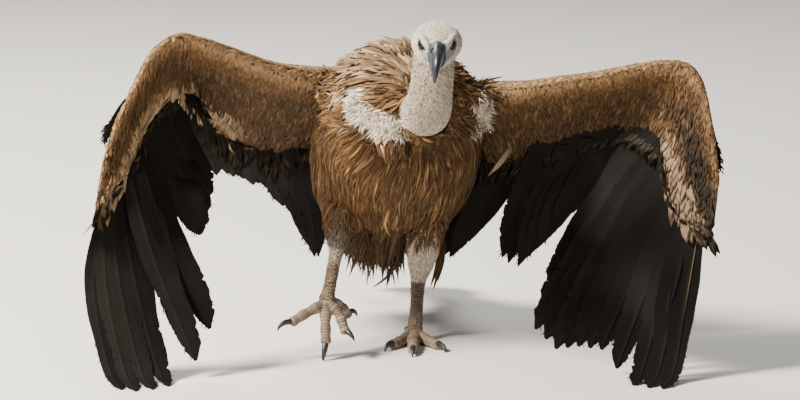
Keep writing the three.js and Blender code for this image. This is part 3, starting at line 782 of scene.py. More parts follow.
# Corners over a broad feather, from the edge of one web over the shaft to the other
BLADE = np.array([-1, -0.66, -0.3, -0.06, 0, 0.06, 0.3, 0.66, 1.0])
BLADE_SHARE = np.concatenate([BLADE, BLADE[-2:0:-1]]) / 2 + 0.5
WEB_HALF = 0.7  # half a web's thickness at its shaft
SHAFT_PROUD = 1.3
WEB_DROOP = 0.1  # how far a web's edge hangs, as a share of its reach


def blades(line, edge, left, right):
    """Closed thin rings for broad feathers: `left` and `right` are the reach of each web off the shaft."""
    tangent = unit(np.gradient(line, axis=1))
    edge = unit(edge - tangent * dot(edge, tangent))
    up = np.cross(edge, tangent)
    share = BLADE[None, None, :]
    reach = np.where(share < 0, left[:, :, None], right[:, :, None]) * share
    taper = np.linspace(1, 0.35, line.shape[1])[None, :, None]
    fall = -WEB_DROOP * reach**2 / np.maximum(np.maximum(left, right)[:, :, None], 1)
    rib = np.where(np.abs(share) < 0.01, SHAFT_PROUD * taper, 0)
    half = WEB_HALF * (0.3 + 0.7 * (1 - np.abs(share))) * (0.5 + 0.5 * taper)
    place = line[:, :, None] + edge[:, :, None] * reach[..., None]
    upper = place + up[:, :, None] * (fall + half + rib)[..., None]
    lower = place + up[:, :, None] * (fall - half - rib)[..., None]
    return np.concatenate([upper, lower[:, :, -2:0:-1]], axis=2)


def island_uv(n, m):
    """A strip of the map for each broad feather of one row."""
    along = np.linspace(0.02, 0.98, m)
    width = 0.08 + 0.84 * BLADE_SHARE
    uv = np.empty((n, m, len(width), 2))
    uv[..., 0] = (np.arange(n)[:, None, None] + width[None, None, :]) / n
    uv[..., 1] = along[None, :, None]
    return uv


# ---- Skin ----

# In the head's own frame: [x, y, z, radius], or half width and half height
SKULL_ROWS = [[0, y, z - 2 * (y > -45), wide, high - 2.5 * (y > -45)] for y, z, wide, high in SKULL]
BROW = [
    [30, -14, 15, 4.5],
    [26, -31, 17, 6.0],
    [19.4, -44.8, 12.6, 6.5],
    [12.8, -53.2, 8.2, 5.6],
    [8, -57, 4.5, 4],
]
CHEEK = [[29, -16, -3, 8], [24.5, -32, -10, 8], [17, -46, -13, 6.5], [11, -56, -13, 4.5]]
CERE = [[0, -44, 3, 12.4, 15], [0, -58, 3, 12.2, 15.2], [0, -66, 2.4, 12, 14.9], [0, -69.5, 2, 11.4, 14.3]]
LORE = [[21, -38, 0], [13, -58, -10]]  # the bare strip from the eye to the bill
NOSTRIL = np.array([8.2, -69, 9.2])
GAZE = unit(np.array([0.66, -0.75, 0.05]))
LID_SLANT = np.array([0.55, 0.53, 0.65])
LID_OPENING = (53, 26)  # half angles, in degrees
LID_FOLD = 1.5
SOCKET = (11.5, 5.4)  # half its long way and half its short way
SOCKET_FLOOR = 5.5  # how far before the eye's centre the skin is drawn back to

# How far round the head and the feet the skin keeps all its faces
BARE_HEAD, BARE_FOOT, BARE_LEG_TOP = 80, 26, 190


def mirrored(rows, sign):
    return [[sign * row[0], *row[1:]] for row in rows]


def eye_basis(sign):
    """The eye's centre, its gaze, and the long and short ways of its opening, in the head's frame."""
    mirror = np.array([sign, 1, 1])
    gaze = GAZE * mirror
    long_way = across(LID_SLANT * mirror, gaze)
    return EYE_AT * mirror, gaze, long_way, np.cross(gaze, long_way)


def lid(sign):
    """A closed fold round the opening of the eye."""
    steps, corners = 48, 10
    centre, gaze, long_way, short_way = eye_basis(sign)
    turn = np.linspace(0, 2 * math.pi, steps, endpoint=False)[:, None]
    wide, high = (math.tan(math.radians(a)) for a in LID_OPENING)
    out = unit(gaze + wide * np.cos(turn) * long_way + high * np.sin(turn) * short_way)
    ring = centre + out * (EYE_RADIUS - 0.1)
    tangent = unit(np.roll(ring, -1, axis=0) - np.roll(ring, 1, axis=0))
    flank = np.cross(tangent, out)
    angle = np.arange(corners) * 2 * math.pi / corners
    points = ring[:, None] + LID_FOLD * (
        np.cos(angle)[None, :, None] * out[:, None] + np.sin(angle)[None, :, None] * flank[:, None]
    )
    i, j = np.meshgrid(np.arange(steps), np.arange(corners), indexing="ij")
    corner = lambda a, b: ((a % steps) * corners + b % corners).ravel()
    faces = np.stack([corner(i, j), corner(i + 1, j), corner(i + 1, j + 1), corner(i, j + 1)], axis=1)
    points = on_head(points.reshape(-1, 3))
    return points, facing_out(points, faces.tolist())


# How far the belly's skin is drawn up at each station of the trunk, behind the shanks
TUCK = np.array([0, 0, 0, 10, 22, 24, 10, 0.0])


def tucked(rows, rises):
    """Stations with their lower side drawn up and their upper side left where it is."""
    rows = np.array(rows, float)
    tangent = unit(np.gradient(rows[:, :3], axis=0))
    rows[:, :3] += np.cross([1, 0, 0], tangent) * rises[:, None]
    rows[:, 4] -= rises
    return rows.tolist()


def beds(depth):
    """Every body that feathers or scales grow on, by name, sunk by the depth of the coat there."""
    made = {
        "trunk": Loft(tucked(TRUNK, TUCK), depth["body"], power=2.2, cap=0.6),
        "ruff": Loft(RUFF, depth["ruff"], side=(0, 1, 0)),
        "neck": Loft(NECK, depth["neck"]),
        "tail_coverts": Loft(TAIL_COVERTS, depth["tail"]),
        "crop": Loft(CROP),
        "head": Loft(SKULL_ROWS, depth["head"], cap=0.45, place=on_head),
    }
    for leg in LEGS:
        made[f"thigh_{leg['name']}"] = Loft(leg["thigh"], depth["thigh"], cap=0.6)
        top = int(leg["hock"]) + 1
        rows = [
            [*row[:3], row[3] - depth["shank"] * (i < top - 1), row[4] - depth["shank"] * (i < top - 1)]
            for i, row in enumerate(leg["shank"])
        ]
        made[f"shank_{leg['name']}"] = Loft(rows, 0.3, cap=0.6)
        for toe, (bones, _) in TOES[leg["name"]].items():
            made[f"toe_{leg['name']}_{toe}"] = Loft(toe_rows(bones), 0.3, cap=0.8)
    for wing in WINGS:
        made[f"wing_{wing['name']}"] = WingArm(wing, depth["wing"])
    return made


TOE_SWELL = 1.18 * np.array([1.0, 0.95, 1.06, 0.9, 1.05, 0.9, 1.0])


def toe_rows(bones):
    """Toe stations with the pads swollen between the joints."""
    rows = sample([[*bone[:3], bone[3], bone[3]] for bone in bones], np.linspace(0, 2, len(TOE_SWELL)))
    rows[:, 3:] *= TOE_SWELL[:, None]
    return rows.tolist()


# Sides and steps between stations of each bed's shell
SHELL_GRAIN = {"trunk": (56, 8), "head": (44, 8), "neck": (36, 8), "ruff": (32, 8)}
SMALL_GRAIN, USUAL_GRAIN = (20, 5), (28, 5)


def make_skin(depth, voxel, covered_share):
    """The shells of every bed and of the face, melted into one skin with its faces and its regions."""
    shells = []
    for name, bed in beds(depth).items():
        usual = SMALL_GRAIN if name.startswith(("toe", "shank")) else USUAL_GRAIN
        shells.append(bed.shell(*SHELL_GRAIN.get(name, usual)))
    for sign in (-1, 1):
        for rows in (BROW, CHEEK):
            shells.append(Loft(mirrored(rows, sign), cap=0.9, place=on_head).shell(16, 6))
        shells.append(lid(sign))
    shells.append(Loft(CERE, power=2.1, cap=0.3, place=on_head).shell(40, 6))
    obj = linked("skin", plain_mesh("skin", shells))
    bpy.context.view_layer.objects.active = obj
    obj.data.remesh_voxel_size = voxel
    bpy.ops.object.voxel_remesh()
    thin_out_covered(obj, covered_share)
    soften_face(obj)
    shape_eye_sockets(obj)
    smooth_shaded(obj.data)
    set_attribute(obj.data, "Regions", "FLOAT_COLOR", "color", skin_regions(design_points(obj.data)))
    return obj


def modify(obj, kind, chosen, **settings):
    """Applies a modifier to the chosen points of a mesh."""
    group = obj.vertex_groups.new(name=kind)
    group.add(np.flatnonzero(chosen).tolist(), 1.0, "REPLACE")
    modifier = obj.modifiers.new(kind, kind)
    modifier.vertex_group = group.name
    for name, value in settings.items():
        setattr(modifier, name, value)
    bpy.context.view_layer.objects.active = obj
    bpy.ops.object.modifier_apply(modifier=modifier.name)
    obj.vertex_groups.clear()


def thin_out_covered(obj, share):
    """Fewer faces under the plumage; the head and the feet keep theirs."""
    points = design_points(obj.data)
    bare = norm(points - HEAD_AT) < BARE_HEAD
    for leg in LEGS:
        rows = [row[:3] for row in leg["shank"][2:]]
        rows += [bone[:3] for bones, _ in TOES[leg["name"]].values() for bone in bones]
        bare |= (distance_to(points, rows) < BARE_FOOT) & (points[:, 2] < BARE_LEG_TOP)
    modify(obj, "DECIMATE", ~bare, ratio=bare.mean() + share * (1 - bare.mean()), vertex_group_factor=1.0)


def folded(local):
    """Points of the head's own frame, all brought to its left side."""
    return np.abs(local) * [1, 0, 0] + local * [0, 1, 1]


def soften_face(obj):
    """Eases the brows and cheeks into the head, away from the lids."""
    points = design_points(obj.data)
    eye = norm(folded(to_head(points)) - EYE_AT)
    soft = (norm(points - HEAD_AT) < BARE_HEAD + 5) & (eye > 12.5)
    modify(obj, "SMOOTH", soft, factor=0.5, iterations=7)


def shape_eye_sockets(obj):
    """Draws the skin back behind each eyeball and into the nostrils."""
    points = design_points(obj.data)
    local = to_head(points)
    for sign in (-1, 1):
        centre, gaze, long_way, short_way = eye_basis(sign)
        off = local - centre
        ahead = off @ gaze
        inside = ((off @ long_way) / SOCKET[0]) ** 2 + ((off @ short_way) / SOCKET[1]) ** 2
        sink = (inside < 1) & (ahead > 0) & (ahead < 14)
        local[sink] -= gaze * np.maximum(ahead[sink] - SOCKET_FLOOR, 0)[:, None]
        local[:, 1] += 3.5 * np.exp(-1.2 * nostril_reach(local, sign) ** 2)
    placed = to_row(on_head(local))
    obj.data.vertices.foreach_set("co", placed.astype(np.float32).ravel())
    obj.data.update()


def nostril_reach(local, sign):
    """How far points of the head are from the slit of a nostril, as shares of its size."""
    off = local - NOSTRIL * [sign, 1, 1]
    across_slit = off[:, 0] * sign + 0.35 * off[:, 2]
    return np.sqrt((across_slit / 1.7) ** 2 + (off[:, 1] / 4.0) ** 2 + (off[:, 2] / 5.0) ** 2)


def skin_regions(points):
    """How scaly, slate, downy and bare each point of the skin is. The bare part also holds painted shade at
    the nostril slits.
    """
    local = to_head(points)
    legs = 1 - ease(172, 190, points[:, 2] + 0.06 * points[:, 1])
    head = 1 - ease(70, 90, norm(points - HEAD_AT))
    neck = 1 - ease(44, 58, distance_to(points, [row[:3] for row in NECK]))
    side = np.abs(local[:, 0])
    back = local[:, 1] + 0.35 * np.maximum(side - 6, 0)
    cere = head * (1 - ease(-52, -47, back)) * (1 - ease(13.6, 15.5, side))
    eyes = [norm(local - EYE_AT * np.array([s, 1, 1])) for s in (-1, 1)]
    ring = head * (1 - ease(11, 15.5, np.minimum(*eyes)))
    lore = distance_to(folded(local), LORE)
    ring = np.maximum(ring, 0.55 * head * (1 - ease(5, 15, lore)) * (1 - ease(2, 8, local[:, 2])))
    # Painted shade: the skin at the nostril slits takes the dark colour of the lids
    slits = np.minimum(nostril_reach(local, -1), nostril_reach(local, 1))
    ring = np.maximum(ring, head * (1 - ease(0.8, 1.5, slits)))
    hump = ease(40, 62, norm(points - NECK[2][:3]) * (points[:, 1] > -150))
    pale = np.maximum(head, neck * (1 - hump))
    return np.stack([legs, cere, np.maximum(pale, whiteness(points)), ring], axis=1)


def distance_to(points, line):
    """How far each point is from a line through a few places."""
    line = np.asarray(line, float)
    best = np.full(len(points), np.inf)
    for a, b in zip(line[:-1], line[1:]):
        share = np.clip((points - a) @ (b - a) / ((b - a) @ (b - a)), 0, 1)
        best = np.minimum(best, norm(points - a - share[:, None] * (b - a)))
    return best


# ---- Coat ----

# Bare down shows at the shoulders and the crop: [x, height up a plane that leans back, reach]
DOWN_PATCHES = np.array([
    [-67, 430, 15],
    [-66, 408, 19],
    [-65, 388, 15],
    [-45, 386, 15],
    [-28, 376, 21],
    [-8, 369, 17],
    [-28, 363, 13],
    [-104, 423, 8],
    [134, 420, 12],
    [133, 403, 14],
    [129, 385, 14],
    [123, 366, 11],
])
LEAN = math.radians(10)  # of the plane that the patches are placed on


def whiteness(points):
    """How white the down is that shows at each point."""
    height = points[:, 2] * math.cos(LEAN) + points[:, 1] * math.sin(LEAN)
    seen = np.stack([points[:, 0], height], axis=1)
    off = np.linalg.norm(seen[:, None] - DOWN_PATCHES[None, :, :2], axis=2)
    ragged = 0.18 * np.sin(seen[:, :1] * 0.45 + 1) * np.sin(seen[:, 1:] * 0.31)
    return (1 - ease(0.8, 1.1, off / DOWN_PATCHES[None, :, 2] + ragged)).max(axis=1) * (points[:, 1] < -15)


def mark(rust, pale=0.0, dark=0.0, white=0.0):
    """Feather marks: how tawny, buff, black-brown and white each one is."""
    return np.stack(np.broadcast_arrays(rust, pale, dark, white), axis=1).astype(float)


def clear_of_face(p, t, w):
    """Keeps the down off the eyes, the cere and the bare skin beside it."""
    local = folded(to_head(p))
    eye = norm(local - EYE_AT)
    front = local[:, 1] + 0.45 * np.maximum(local[:, 0] - 4, 0) - 0.3 * np.minimum(local[:, 2], 0)
    return (eye > 10.5) & (front > -50)


def head_down(skin, made, rng):
    """Down that lies back over the head and thins out into tufts on the neck."""
    batch = Feathers()
    speck = lambda p, share: 0.9 * (rng.uniform(0, 1, len(p)) < share)
    back = lambda p, t, w, along_t, along_w: -along_t
    long_haired = lambda p: 1 - ease(-5, -48, to_head(p)[:, 1])
    grow(
        batch, skin, made["head"], rng, 1.9, (-0.95, 6.5), ROUND, (0, 0, 0.45, 1),
        length=lambda p, t, w: 2.4 + 3.4 * long_haired(p), width=1.1,
        lift=lambda p, t, w: 0.9 + 1.1 * long_haired(p), keel=0.25, shape=WISP, heading=back, wander=0.6,
        reach=8, marks=lambda p, t, w: mark(0.0, 0.1, 0.0, 0.97 - speck(p, 0.06)), keep=clear_of_face,
    )
    grow(
        batch, skin, made["neck"], rng, 2.5, (2.2, 6.6), ROUND, (0.5, 0, 1, 1),
        length=6.5, width=1.7, lift=3.4, keel=0.3, shape=WISP, heading=back, wander=0.8, reach=3.0,
        marks=lambda p, t, w: mark(0.5, 0.6, 0.0, 0.68 - 0.7 * speck(p, 0.14)),
    )
    return batch


# The parting of the breast feathers runs down below the neck; the feathers near it are darkened
# as painted shade in the parting
CLEFT = [[4, -190, 388], [1, -182, 345], [-4, -172, 306]]


def downward(strength):
    """Along the body, drawn down by the feathers' own weight."""
    return lambda p, t, w, along_t, along_w: along_t + np.array([0, 0, -strength])


def shoulder_down(skin, made, rng):
    """White down that shows at the crop and the shoulders, where the longer feathers part."""
    batch = Feathers()
    beds_of_down = (
        (made["trunk"], (-0.95, 2.0), (math.pi - 0.5, 2 * math.pi + 0.5), (0, 0, 0.5, 0.5)),
        (made["ruff"], (-0.8, 5.8), ROUND, (0.5, 0, 1, 0.5)),
        (made["crop"], (-0.9, 2.9), ROUND, (0, 0.5, 0.3, 1)),
        (Face(made["wing_left"], -1), (0, 1.8), (0, 0.9), (0.35, 0.5, 0.65, 1)),
        (Face(made["wing_right"], -1), (0, 1.8), (0, 0.9), (0.7, 0.5, 1, 1)),
    )
    for bed, t_range, w_range, box in beds_of_down:
        grow(
            batch, skin, bed, rng, 3.0, t_range, w_range, box, length=16, width=3.2, lift=11, keel=0.4,
            shape=WISP, heading=downward(1.2), wander=0.9, tilt=0.4,
            keep=lambda p, t, w: whiteness(p) > 0.35, reach=6,
            marks=lambda p, t, w: mark(0.2, 0.5, 0.0, rng.uniform(0.7, 1, len(p))),
        )
    return batch


def body_coat(skin, made, rng):
    """The close feathers of the underside, the loose ones over them, and those of the back."""
    trunk = made["trunk"]
    under, loose, over = Feathers(), Feathers(), Feathers()
    belly = lambda p: ease(235, 165, p[:, 2])
    low = lambda p: belly(p) * (1 - ease(-6, 12, p[:, 0]))
    # Painted shade: the breast is darker and less tawny towards the bird's left side, away from the key light
    painted_side_shade = lambda p: ease(-90, 30, p[:, 0])
    brief = lambda p: ease(0.2, 0.7, whiteness(p))

    def breast_marks(p, t, w):
        # Painted shade darkens the feathers along the parting
        cleft_shade = 1 - ease(5, 18, distance_to(p, CLEFT))
        streak = rng.uniform(0, 1, len(p))
        rust = 0.3 + 0.6 * streak - 0.35 * painted_side_shade(p) - 0.4 * belly(p)
        dark = 0.12 * streak + 0.5 * belly(p) + 0.8 * cleft_shade + 0.3 * painted_side_shade(p)
        return mark(rust, 0.3 * (streak > 0.9), dark, 0.9 * whiteness(p))

    def loose_marks(p, t, w):
        streak = rng.uniform(0, 1, len(p))
        rust = 0.45 + 0.55 * streak - 0.35 * painted_side_shade(p) - 0.3 * belly(p)
        # Painted shade: feathers near the parting are darkened
        dark = 0.3 * (streak < 0.3) + 0.6 * (distance_to(p, CLEFT) < 14)
        return mark(rust, 0.3 * (streak > 0.75), dark)

    front = (math.pi - 0.2, 2 * math.pi + 0.2)
    grow(
        under, skin, trunk, rng, 5.0, (-0.95, 7.9), front, (0, 0, 0.5, 1),
        length=lambda p, t, w: 56 - 34 * brief(p) + 10 * belly(p), width=lambda p, t, w: 5.2 - brief(p),
        lift=lambda p, t, w: 7 - 2 * brief(p), keel=0.6, wander=0.13, heading=downward(0.8),
        marks=breast_marks, tilt=0.3, hang=lambda p, t, w: 40 * low(p),
    )
    grow(
        under, skin, made["crop"], rng, 5.0, (-0.9, 2.9), ROUND, (0, 0.9, 0.1, 1),
        length=34, width=6, lift=6, keel=0.6, wander=0.25, heading=downward(0.9), marks=breast_marks,
        tilt=0.3, reach=6, keep=lambda p, t, w: whiteness(p) < 0.6,
    )
    grow(
        loose, skin, trunk, rng, 8.0, (-0.3, 4.4), front, (0.5, 0, 1, 0.5),
        length=74, width=5.0, lift=9, keel=0.5, shape=LONG, wander=0.13, heading=downward(0.9),
        marks=loose_marks, tilt=0.3, keep=lambda p, t, w: whiteness(p) < 0.2,
    )
    grow(
        loose, skin, trunk, rng, 10, (4.0, 5.9), (math.pi + 0.6, 2 * math.pi - 0.6), (0.5, 0.5, 1, 1),
        length=lambda p, t, w: rng.uniform(36, 66, len(p)), width=10, lift=5, keel=0.6, shape=LONG,
        wander=0.6, tilt=0.4, hang=lambda p, t, w: rng.uniform(30, 68, len(p)),
        keep=lambda p, t, w: p[:, 0] < 0,
        marks=lambda p, t, w: mark(rng.uniform(0, 0.2, len(p)), 0.15, rng.uniform(0.4, 0.9, len(p))),
    )
    grow(
        over, skin, trunk, rng, 9.0, (1.0, 7.9), (0.1, math.pi - 0.1), (0, 0, 0.6, 1),
        length=52, width=15, lift=6, keel=0.5, shape=ROUNDED, wander=0.12,
        marks=lambda p, t, w: mark(rng.uniform(0.1, 0.6, len(p)), 0.15, 0.15), tilt=0.12,
    )
    grow(
        over, skin, made["tail_coverts"], rng, 9, (-0.5, 2.9), ROUND, (0.62, 0, 0.98, 1),
        length=58, width=15, lift=6, keel=0.5, wander=0.15, shape=LANCET,
        marks=lambda p, t, w: mark(rng.uniform(0.1, 0.4, len(p)), 0.1, 0.45), reach=8,
    )
    return under, loose, over


def ruff_coat(skin, made, rng):
    """Long lance-shaped feathers swept off the base of the neck to each side and over the shoulders."""
    batch = Feathers()

    def swept(p, t, w, along_t, along_w):
        out = (p[:, 0] - 26) / 60
        side = np.clip(out, -1, 1) * 1.2
        return np.stack(np.broadcast_arrays(side + 0.25 * np.sign(out), 0.55, -0.32), axis=1)

    def ruff_marks(p, t, w):
        lit = rng.uniform(0, 1, len(p))
        # Painted sunlight: the top of the ruff, towards the bird's right side, is made paler and whiter
        painted_sunlight = ease(455, 492, p[:, 2]) * (1 - ease(20, 60, p[:, 0]))
        pale = np.maximum(0.5 * ease(0.5, 1, lit), painted_sunlight * (0.3 + 0.5 * lit))
        white = np.maximum(0.85 * whiteness(p), 0.15 * painted_sunlight * lit)
        return mark(0.2 + 0.6 * lit, pale, 0.3 * (lit < 0.3) * (1 - painted_sunlight), white)

    onward = lambda p: p + np.sign(p[:, :1] - 26) * [30, 0, 0] + [0, -12, -8]
    brief = lambda p: ease(0.2, 0.8, np.maximum(whiteness(p), whiteness(onward(p))))
    beds_of_ruff = (
        ("ruff", 5.5, (-0.8, 5.8), ROUND, (0, 0, 0.4, 0.5), 62),
        ("trunk", 6.0, (-0.95, 1.5), (-0.35, math.pi + 0.35), (0.5, 0, 1, 0.5), 66),
        ("neck", 4.5, (-0.9, 2.4), ROUND, (0, 0.6, 0.4, 1), 34),
    )
    for bed, spacing, t_range, w_range, box, long in beds_of_ruff:
        grow(
            batch, skin, made[bed], rng, spacing, t_range, w_range, box, shape=LONG,
            length=lambda p, t, w: long * (1 - 0.6 * brief(p)) * (1 - 0.35 * ease(450, 490, p[:, 2])),
            width=lambda p, t, w: 7.5 - 3 * brief(p) + 4 * ease(450, 490, p[:, 2]),
            lift=lambda p, t, w: 9 - 4 * brief(p) + 9 * ease(460, 505, p[:, 2]), keel=0.6, heading=swept,
            wander=0.32, tilt=0.35, marks=ruff_marks, reach=5,
        )
    return batch


def wing_heading(wing, slant):
    """Feathers run from the leading edge back, and turn along the hand beyond the wrist."""
    wrist = wing["wrist"]

    def heading(p, t, w, along_t, along_w):
        hand = ease(wrist - 1.2, wrist + 2.5, t)[:, None]
        return along_w * (1 - 0.62 * hand) + along_t * (slant + 0.75 * hand)

    return heading


def wing_coat(skin, made, wing, rng):
    """The coverts of the under side and of the upper side of one wing."""
    arm = made[f"wing_{wing['name']}"]
    last, wrist = arm.last, wing["wrist"]
    under, over = Feathers(), Feathers()
    lower, upper = Face(arm, -1), Face(arm, 1)
    hand = lambda t: ease(wrist - 0.5, wrist + 2, t)
    short_of_tip = lambda p, t, w: (t < last - 1.0) | (w > 0.25)
    chance = lambda p: rng.uniform(0, 1, len(p))
    first, end = wing["bleached"]
    # Painted shade: the hand of the left wing is darkened and its coverts made less pale, as if in shadow
    painted_hand_shade = 0.5 if wing["name"] == "left" else 0.0
    bright = lambda t: ease(first - 1, first + 0.3, t) * (1 - ease(end, end + 1, t))

    def lesser(p, t, w):
        sand = 1 - ease(0.1, 0.3, w)
        dark = 0.15 * (1 - sand) + painted_hand_shade * hand(t) * ease(0.05, 0.3, w)
        pale = (0.6 - 0.7 * painted_hand_shade * hand(t)) * sand + 0.12 * chance(p)
        return mark(0.3 + 0.25 * chance(p), pale, dark, 0.9 * whiteness(p))

    def median(p, t, w):
        lit = chance(p)
        ash = bright(t) * ease(0.5, 0.58, w) * hand(t) * (1 - 0.6 * painted_hand_shade)
        dark = (0.36 + 0.25 * (1 - lit)) * (1 - ash) + painted_hand_shade * hand(t)
        return mark(0.25 + 0.3 * lit, 0.2 * (lit > 0.8) + 0.6 * ash, dark, 0.9 * whiteness(p))

    def greater(p, t, w):
        ash = bright(t)
        dark = 0.58 - 0.5 * ash + 0.8 * painted_hand_shade * hand(t)
        return mark(0.2 + 0.2 * chance(p), 0.1 + 0.5 * ash + 0.15 * chance(p), dark, 0.08 * ash)

    edgewise = lambda p, t, w, along_t, along_w: along_t + 0.35 * along_w
    for batch, face in ((under, lower), (over, upper)):
        grow(
            batch, skin, face, rng, 3.6, (0.05, last - 1.0), (0, 0.05), (0, 0.3, 1, 0.32), length=15,
            width=5.5, lift=1.6, keel=0.3, heading=edgewise, wander=0.15, tilt=0.1,
            marks=lambda p, t, w: mark(0.35 + 0.2 * chance(p), 0.5 + 0.2 * chance(p)),
        )
    heading = wing_heading(wing, 0.12)
    grow(
        under, skin, lower, rng, 4.2, (0.1, last - 0.3), (-0.04, 0.42), (0, 0, 1, 0.3),
        length=lambda p, t, w: 16 + 20 * w, width=5.2, lift=lambda p, t, w: 0.8 + 4 * w, keel=0.3,
        heading=heading, wander=0.2, marks=lesser, tilt=0.08, keep=short_of_tip,
    )
    grow(
        under, skin, lower, rng, 5.4, (0.1, last - 0.1), (0.36, 0.64), (0, 0.32, 1, 0.62),
        length=lambda p, t, w: 34 - 6 * hand(t), width=6.4, shape=LONG, lift=4.5, keel=0.5,
        heading=heading, wander=0.22, marks=median, tilt=0.2,
    )
    grow(
        under, skin, lower, rng, 8.0, (0.1, last - 0.2), (0.6, 0.93), (0, 0.66, 1, 0.98),
        length=52, width=15, lift=4, keel=0.5, shape=ROUNDED, heading=heading, wander=0.16, marks=greater,
        tilt=0.14,
    )
    heading = wing_heading(wing, 0.08)
    grow(
        over, skin, upper, rng, 5.2, (0.1, last - 0.3), (-0.04, 0.42), (0, 0, 1, 0.3),
        length=lambda p, t, w: 15 + 20 * w, width=8, lift=lambda p, t, w: 0.9 + 4 * w, keel=0.25, shape=SCALY,
        heading=heading, wander=0.12, tilt=0.08, keep=short_of_tip,
        marks=lambda p, t, w: mark(0.2 + 0.4 * chance(p), 0.5 * (1 - ease(0.1, 0.4, w)) + 0.15, 0.05),
    )
    grow(
        over, skin, upper, rng, 9.0, (0.1, last - 0.1), (0.36, 0.62), (0, 0.32, 1, 0.62),
        length=40, width=15, lift=5, keel=0.45, shape=ROUNDED, heading=heading, wander=0.1,
        marks=lambda p, t, w: mark(0.2 + 0.4 * chance(p), 0.25, 0.1), tilt=0.1,
    )
    grow(
        over, skin, upper, rng, 12, (0.1, last - 0.6), (0.58, 0.93), (0, 0.66, 1, 0.98),
        length=lambda p, t, w: 66 - 22 * hand(t), width=21, lift=5, keel=0.6, shape=ROUNDED, heading=heading,
        wander=0.08, marks=lambda p, t, w: mark(0.1 + 0.1 * chance(p), 0.02, 0.93), tilt=0.1,
    )
    return under, over


def leg_coat(skin, made, rng):
    """Feathers on the thighs, and down on the shanks that is white where the shank comes clear of them."""
    batch = Feathers()
    for leg, corner in zip(LEGS, (0, 0.5)):
        right = leg["name"] == "right"
        grow(
            batch, skin, made[f"thigh_{leg['name']}"], rng, 5.5, (-0.4, 2.6), ROUND,
            (corner, 0, corner + 0.45, 0.48), length=30, width=5.6, lift=6, keel=0.6, wander=0.2,
            marks=lambda p, t, w: mark(rng.uniform(0.1, 0.6, len(p)), 0.1, 0.2), tilt=0.3, reach=5,
            heading=downward(0.6),
        )

        def fluff(p, t, w):
            low = ease(2.2, 2.5, t) if right else np.ones(len(p))
            grey = 0.3 + 0.3 * rng.uniform(0, 1, len(p))
            white = 0.4 * grey * (1 - low) + low * rng.uniform(0.6, 0.95, len(p))
            return mark(0.2, 0.3 * low, 0.25 * (1 - low), white)

        grow(
            batch, skin, made[f"shank_{leg['name']}"], rng, 2.7, (-0.5, 3.9 if right else 3.45), ROUND,
            (corner, 0.52, corner + 0.45, 1), width=2.2,
            length=lambda p, t, w: np.maximum(17 - 3.6 * t, 6),
            lift=lambda p, t, w: np.maximum(6.0 - 1.4 * t, 1.5), keel=0.35, shape=WISP, wander=0.45,
            marks=fluff, reach=3,
        )
    return batch


# Feathers out of place: the places that each runs through, its width, and its marks
STRAYS = (
    ([(187, -52, 354), (166, -62, 326), (144, -66, 302)], 9, (0.2, 0.65, 0.0, 0.15)),
    ([(-20, -170, 264), (-29, -182, 240), (-20, -182, 218)], 4, (0.9, 0.0, 0.0, 0.0)),
    ([(0, 66, 138), (-26, 60, 106), (-54, 52, 86)], 5, (0.1, 0.1, 0.7, 0.0)),
    ([(-10, 72, 140), (-22, 68, 112), (-28, 62, 84)], 6, (0.1, 0.1, 0.8, 0.0)),
    ([(68, 78, 168), (64, 74, 122), (52, 70, 78)], 8, (0.3, 0.1, 0.4, 0.0)),
    ([(64, 74, 160), (58, 70, 118), (47, 66, 84)], 7, (0.2, 0.1, 0.5, 0.0)),
    ([(72, 84, 170), (69, 80, 130), (60, 74, 92)], 7, (0.3, 0.1, 0.4, 0.0)),
)


def stray_feathers(rng):
    batch = Feathers()
    lines = np.array([shaft_line(places, 9) for places, _, _ in STRAYS])
    sides = np.broadcast_to([0.1, -1.0, 0.15], lines.shape)
    shape = np.array([0.3, 0.7, 0.9, 1.0, 1.0, 0.9, 0.7, 0.4, 0.0])
    wide = np.array([w for _, w, _ in STRAYS], float)
    rings = vanes(lines, sides, wide, shape, np.full(len(wide), 0.7), rng.normal(0, 0.2, len(wide)))
    roots = np.stack([np.linspace(0.1, 0.9, len(wide)), np.full(len(wide), 0.5)], axis=1)
    batch.add(rings, THREE_CORNERS, np.array([m for _, _, m in STRAYS]), roots, rng)
    return batch


# ---- Scales ----

SCALE = np.array([0.75, 1.0, 0.55, 0.0])
SCUTES = 14  # on each toe


def leg_scales(skin, made, rng):
    """Small scales down each bare shank, and scutes across each toe."""
    batch = Feathers()
    for leg, corner in zip(LEGS, (0, 0.5)):
        bed = made[f"shank_{leg['name']}"]
        first = 3.8 if leg["name"] == "right" else 3.3
        grow(
            batch, skin, bed, rng, 3.6, (first, bed.last + 0.5), ROUND, (corner, 0, corner + 0.45, 0.48),
            length=4.8, width=4.4, lift=1.5, keel=1.1, shape=SCALE, wander=0.15, tilt=0.1,
            marks=lambda p, t, w: mark(rng.uniform(0.3, 0.8, len(p))), reach=2,
        )
        for i, toe in enumerate(TOES[leg["name"]]):
            bed = made[f"toe_{leg['name']}_{toe}"]
            low = corner + 0.11 * i
            scutes(batch, bed, (low, 0.52, low + 0.1, 1), rng)
    return batch


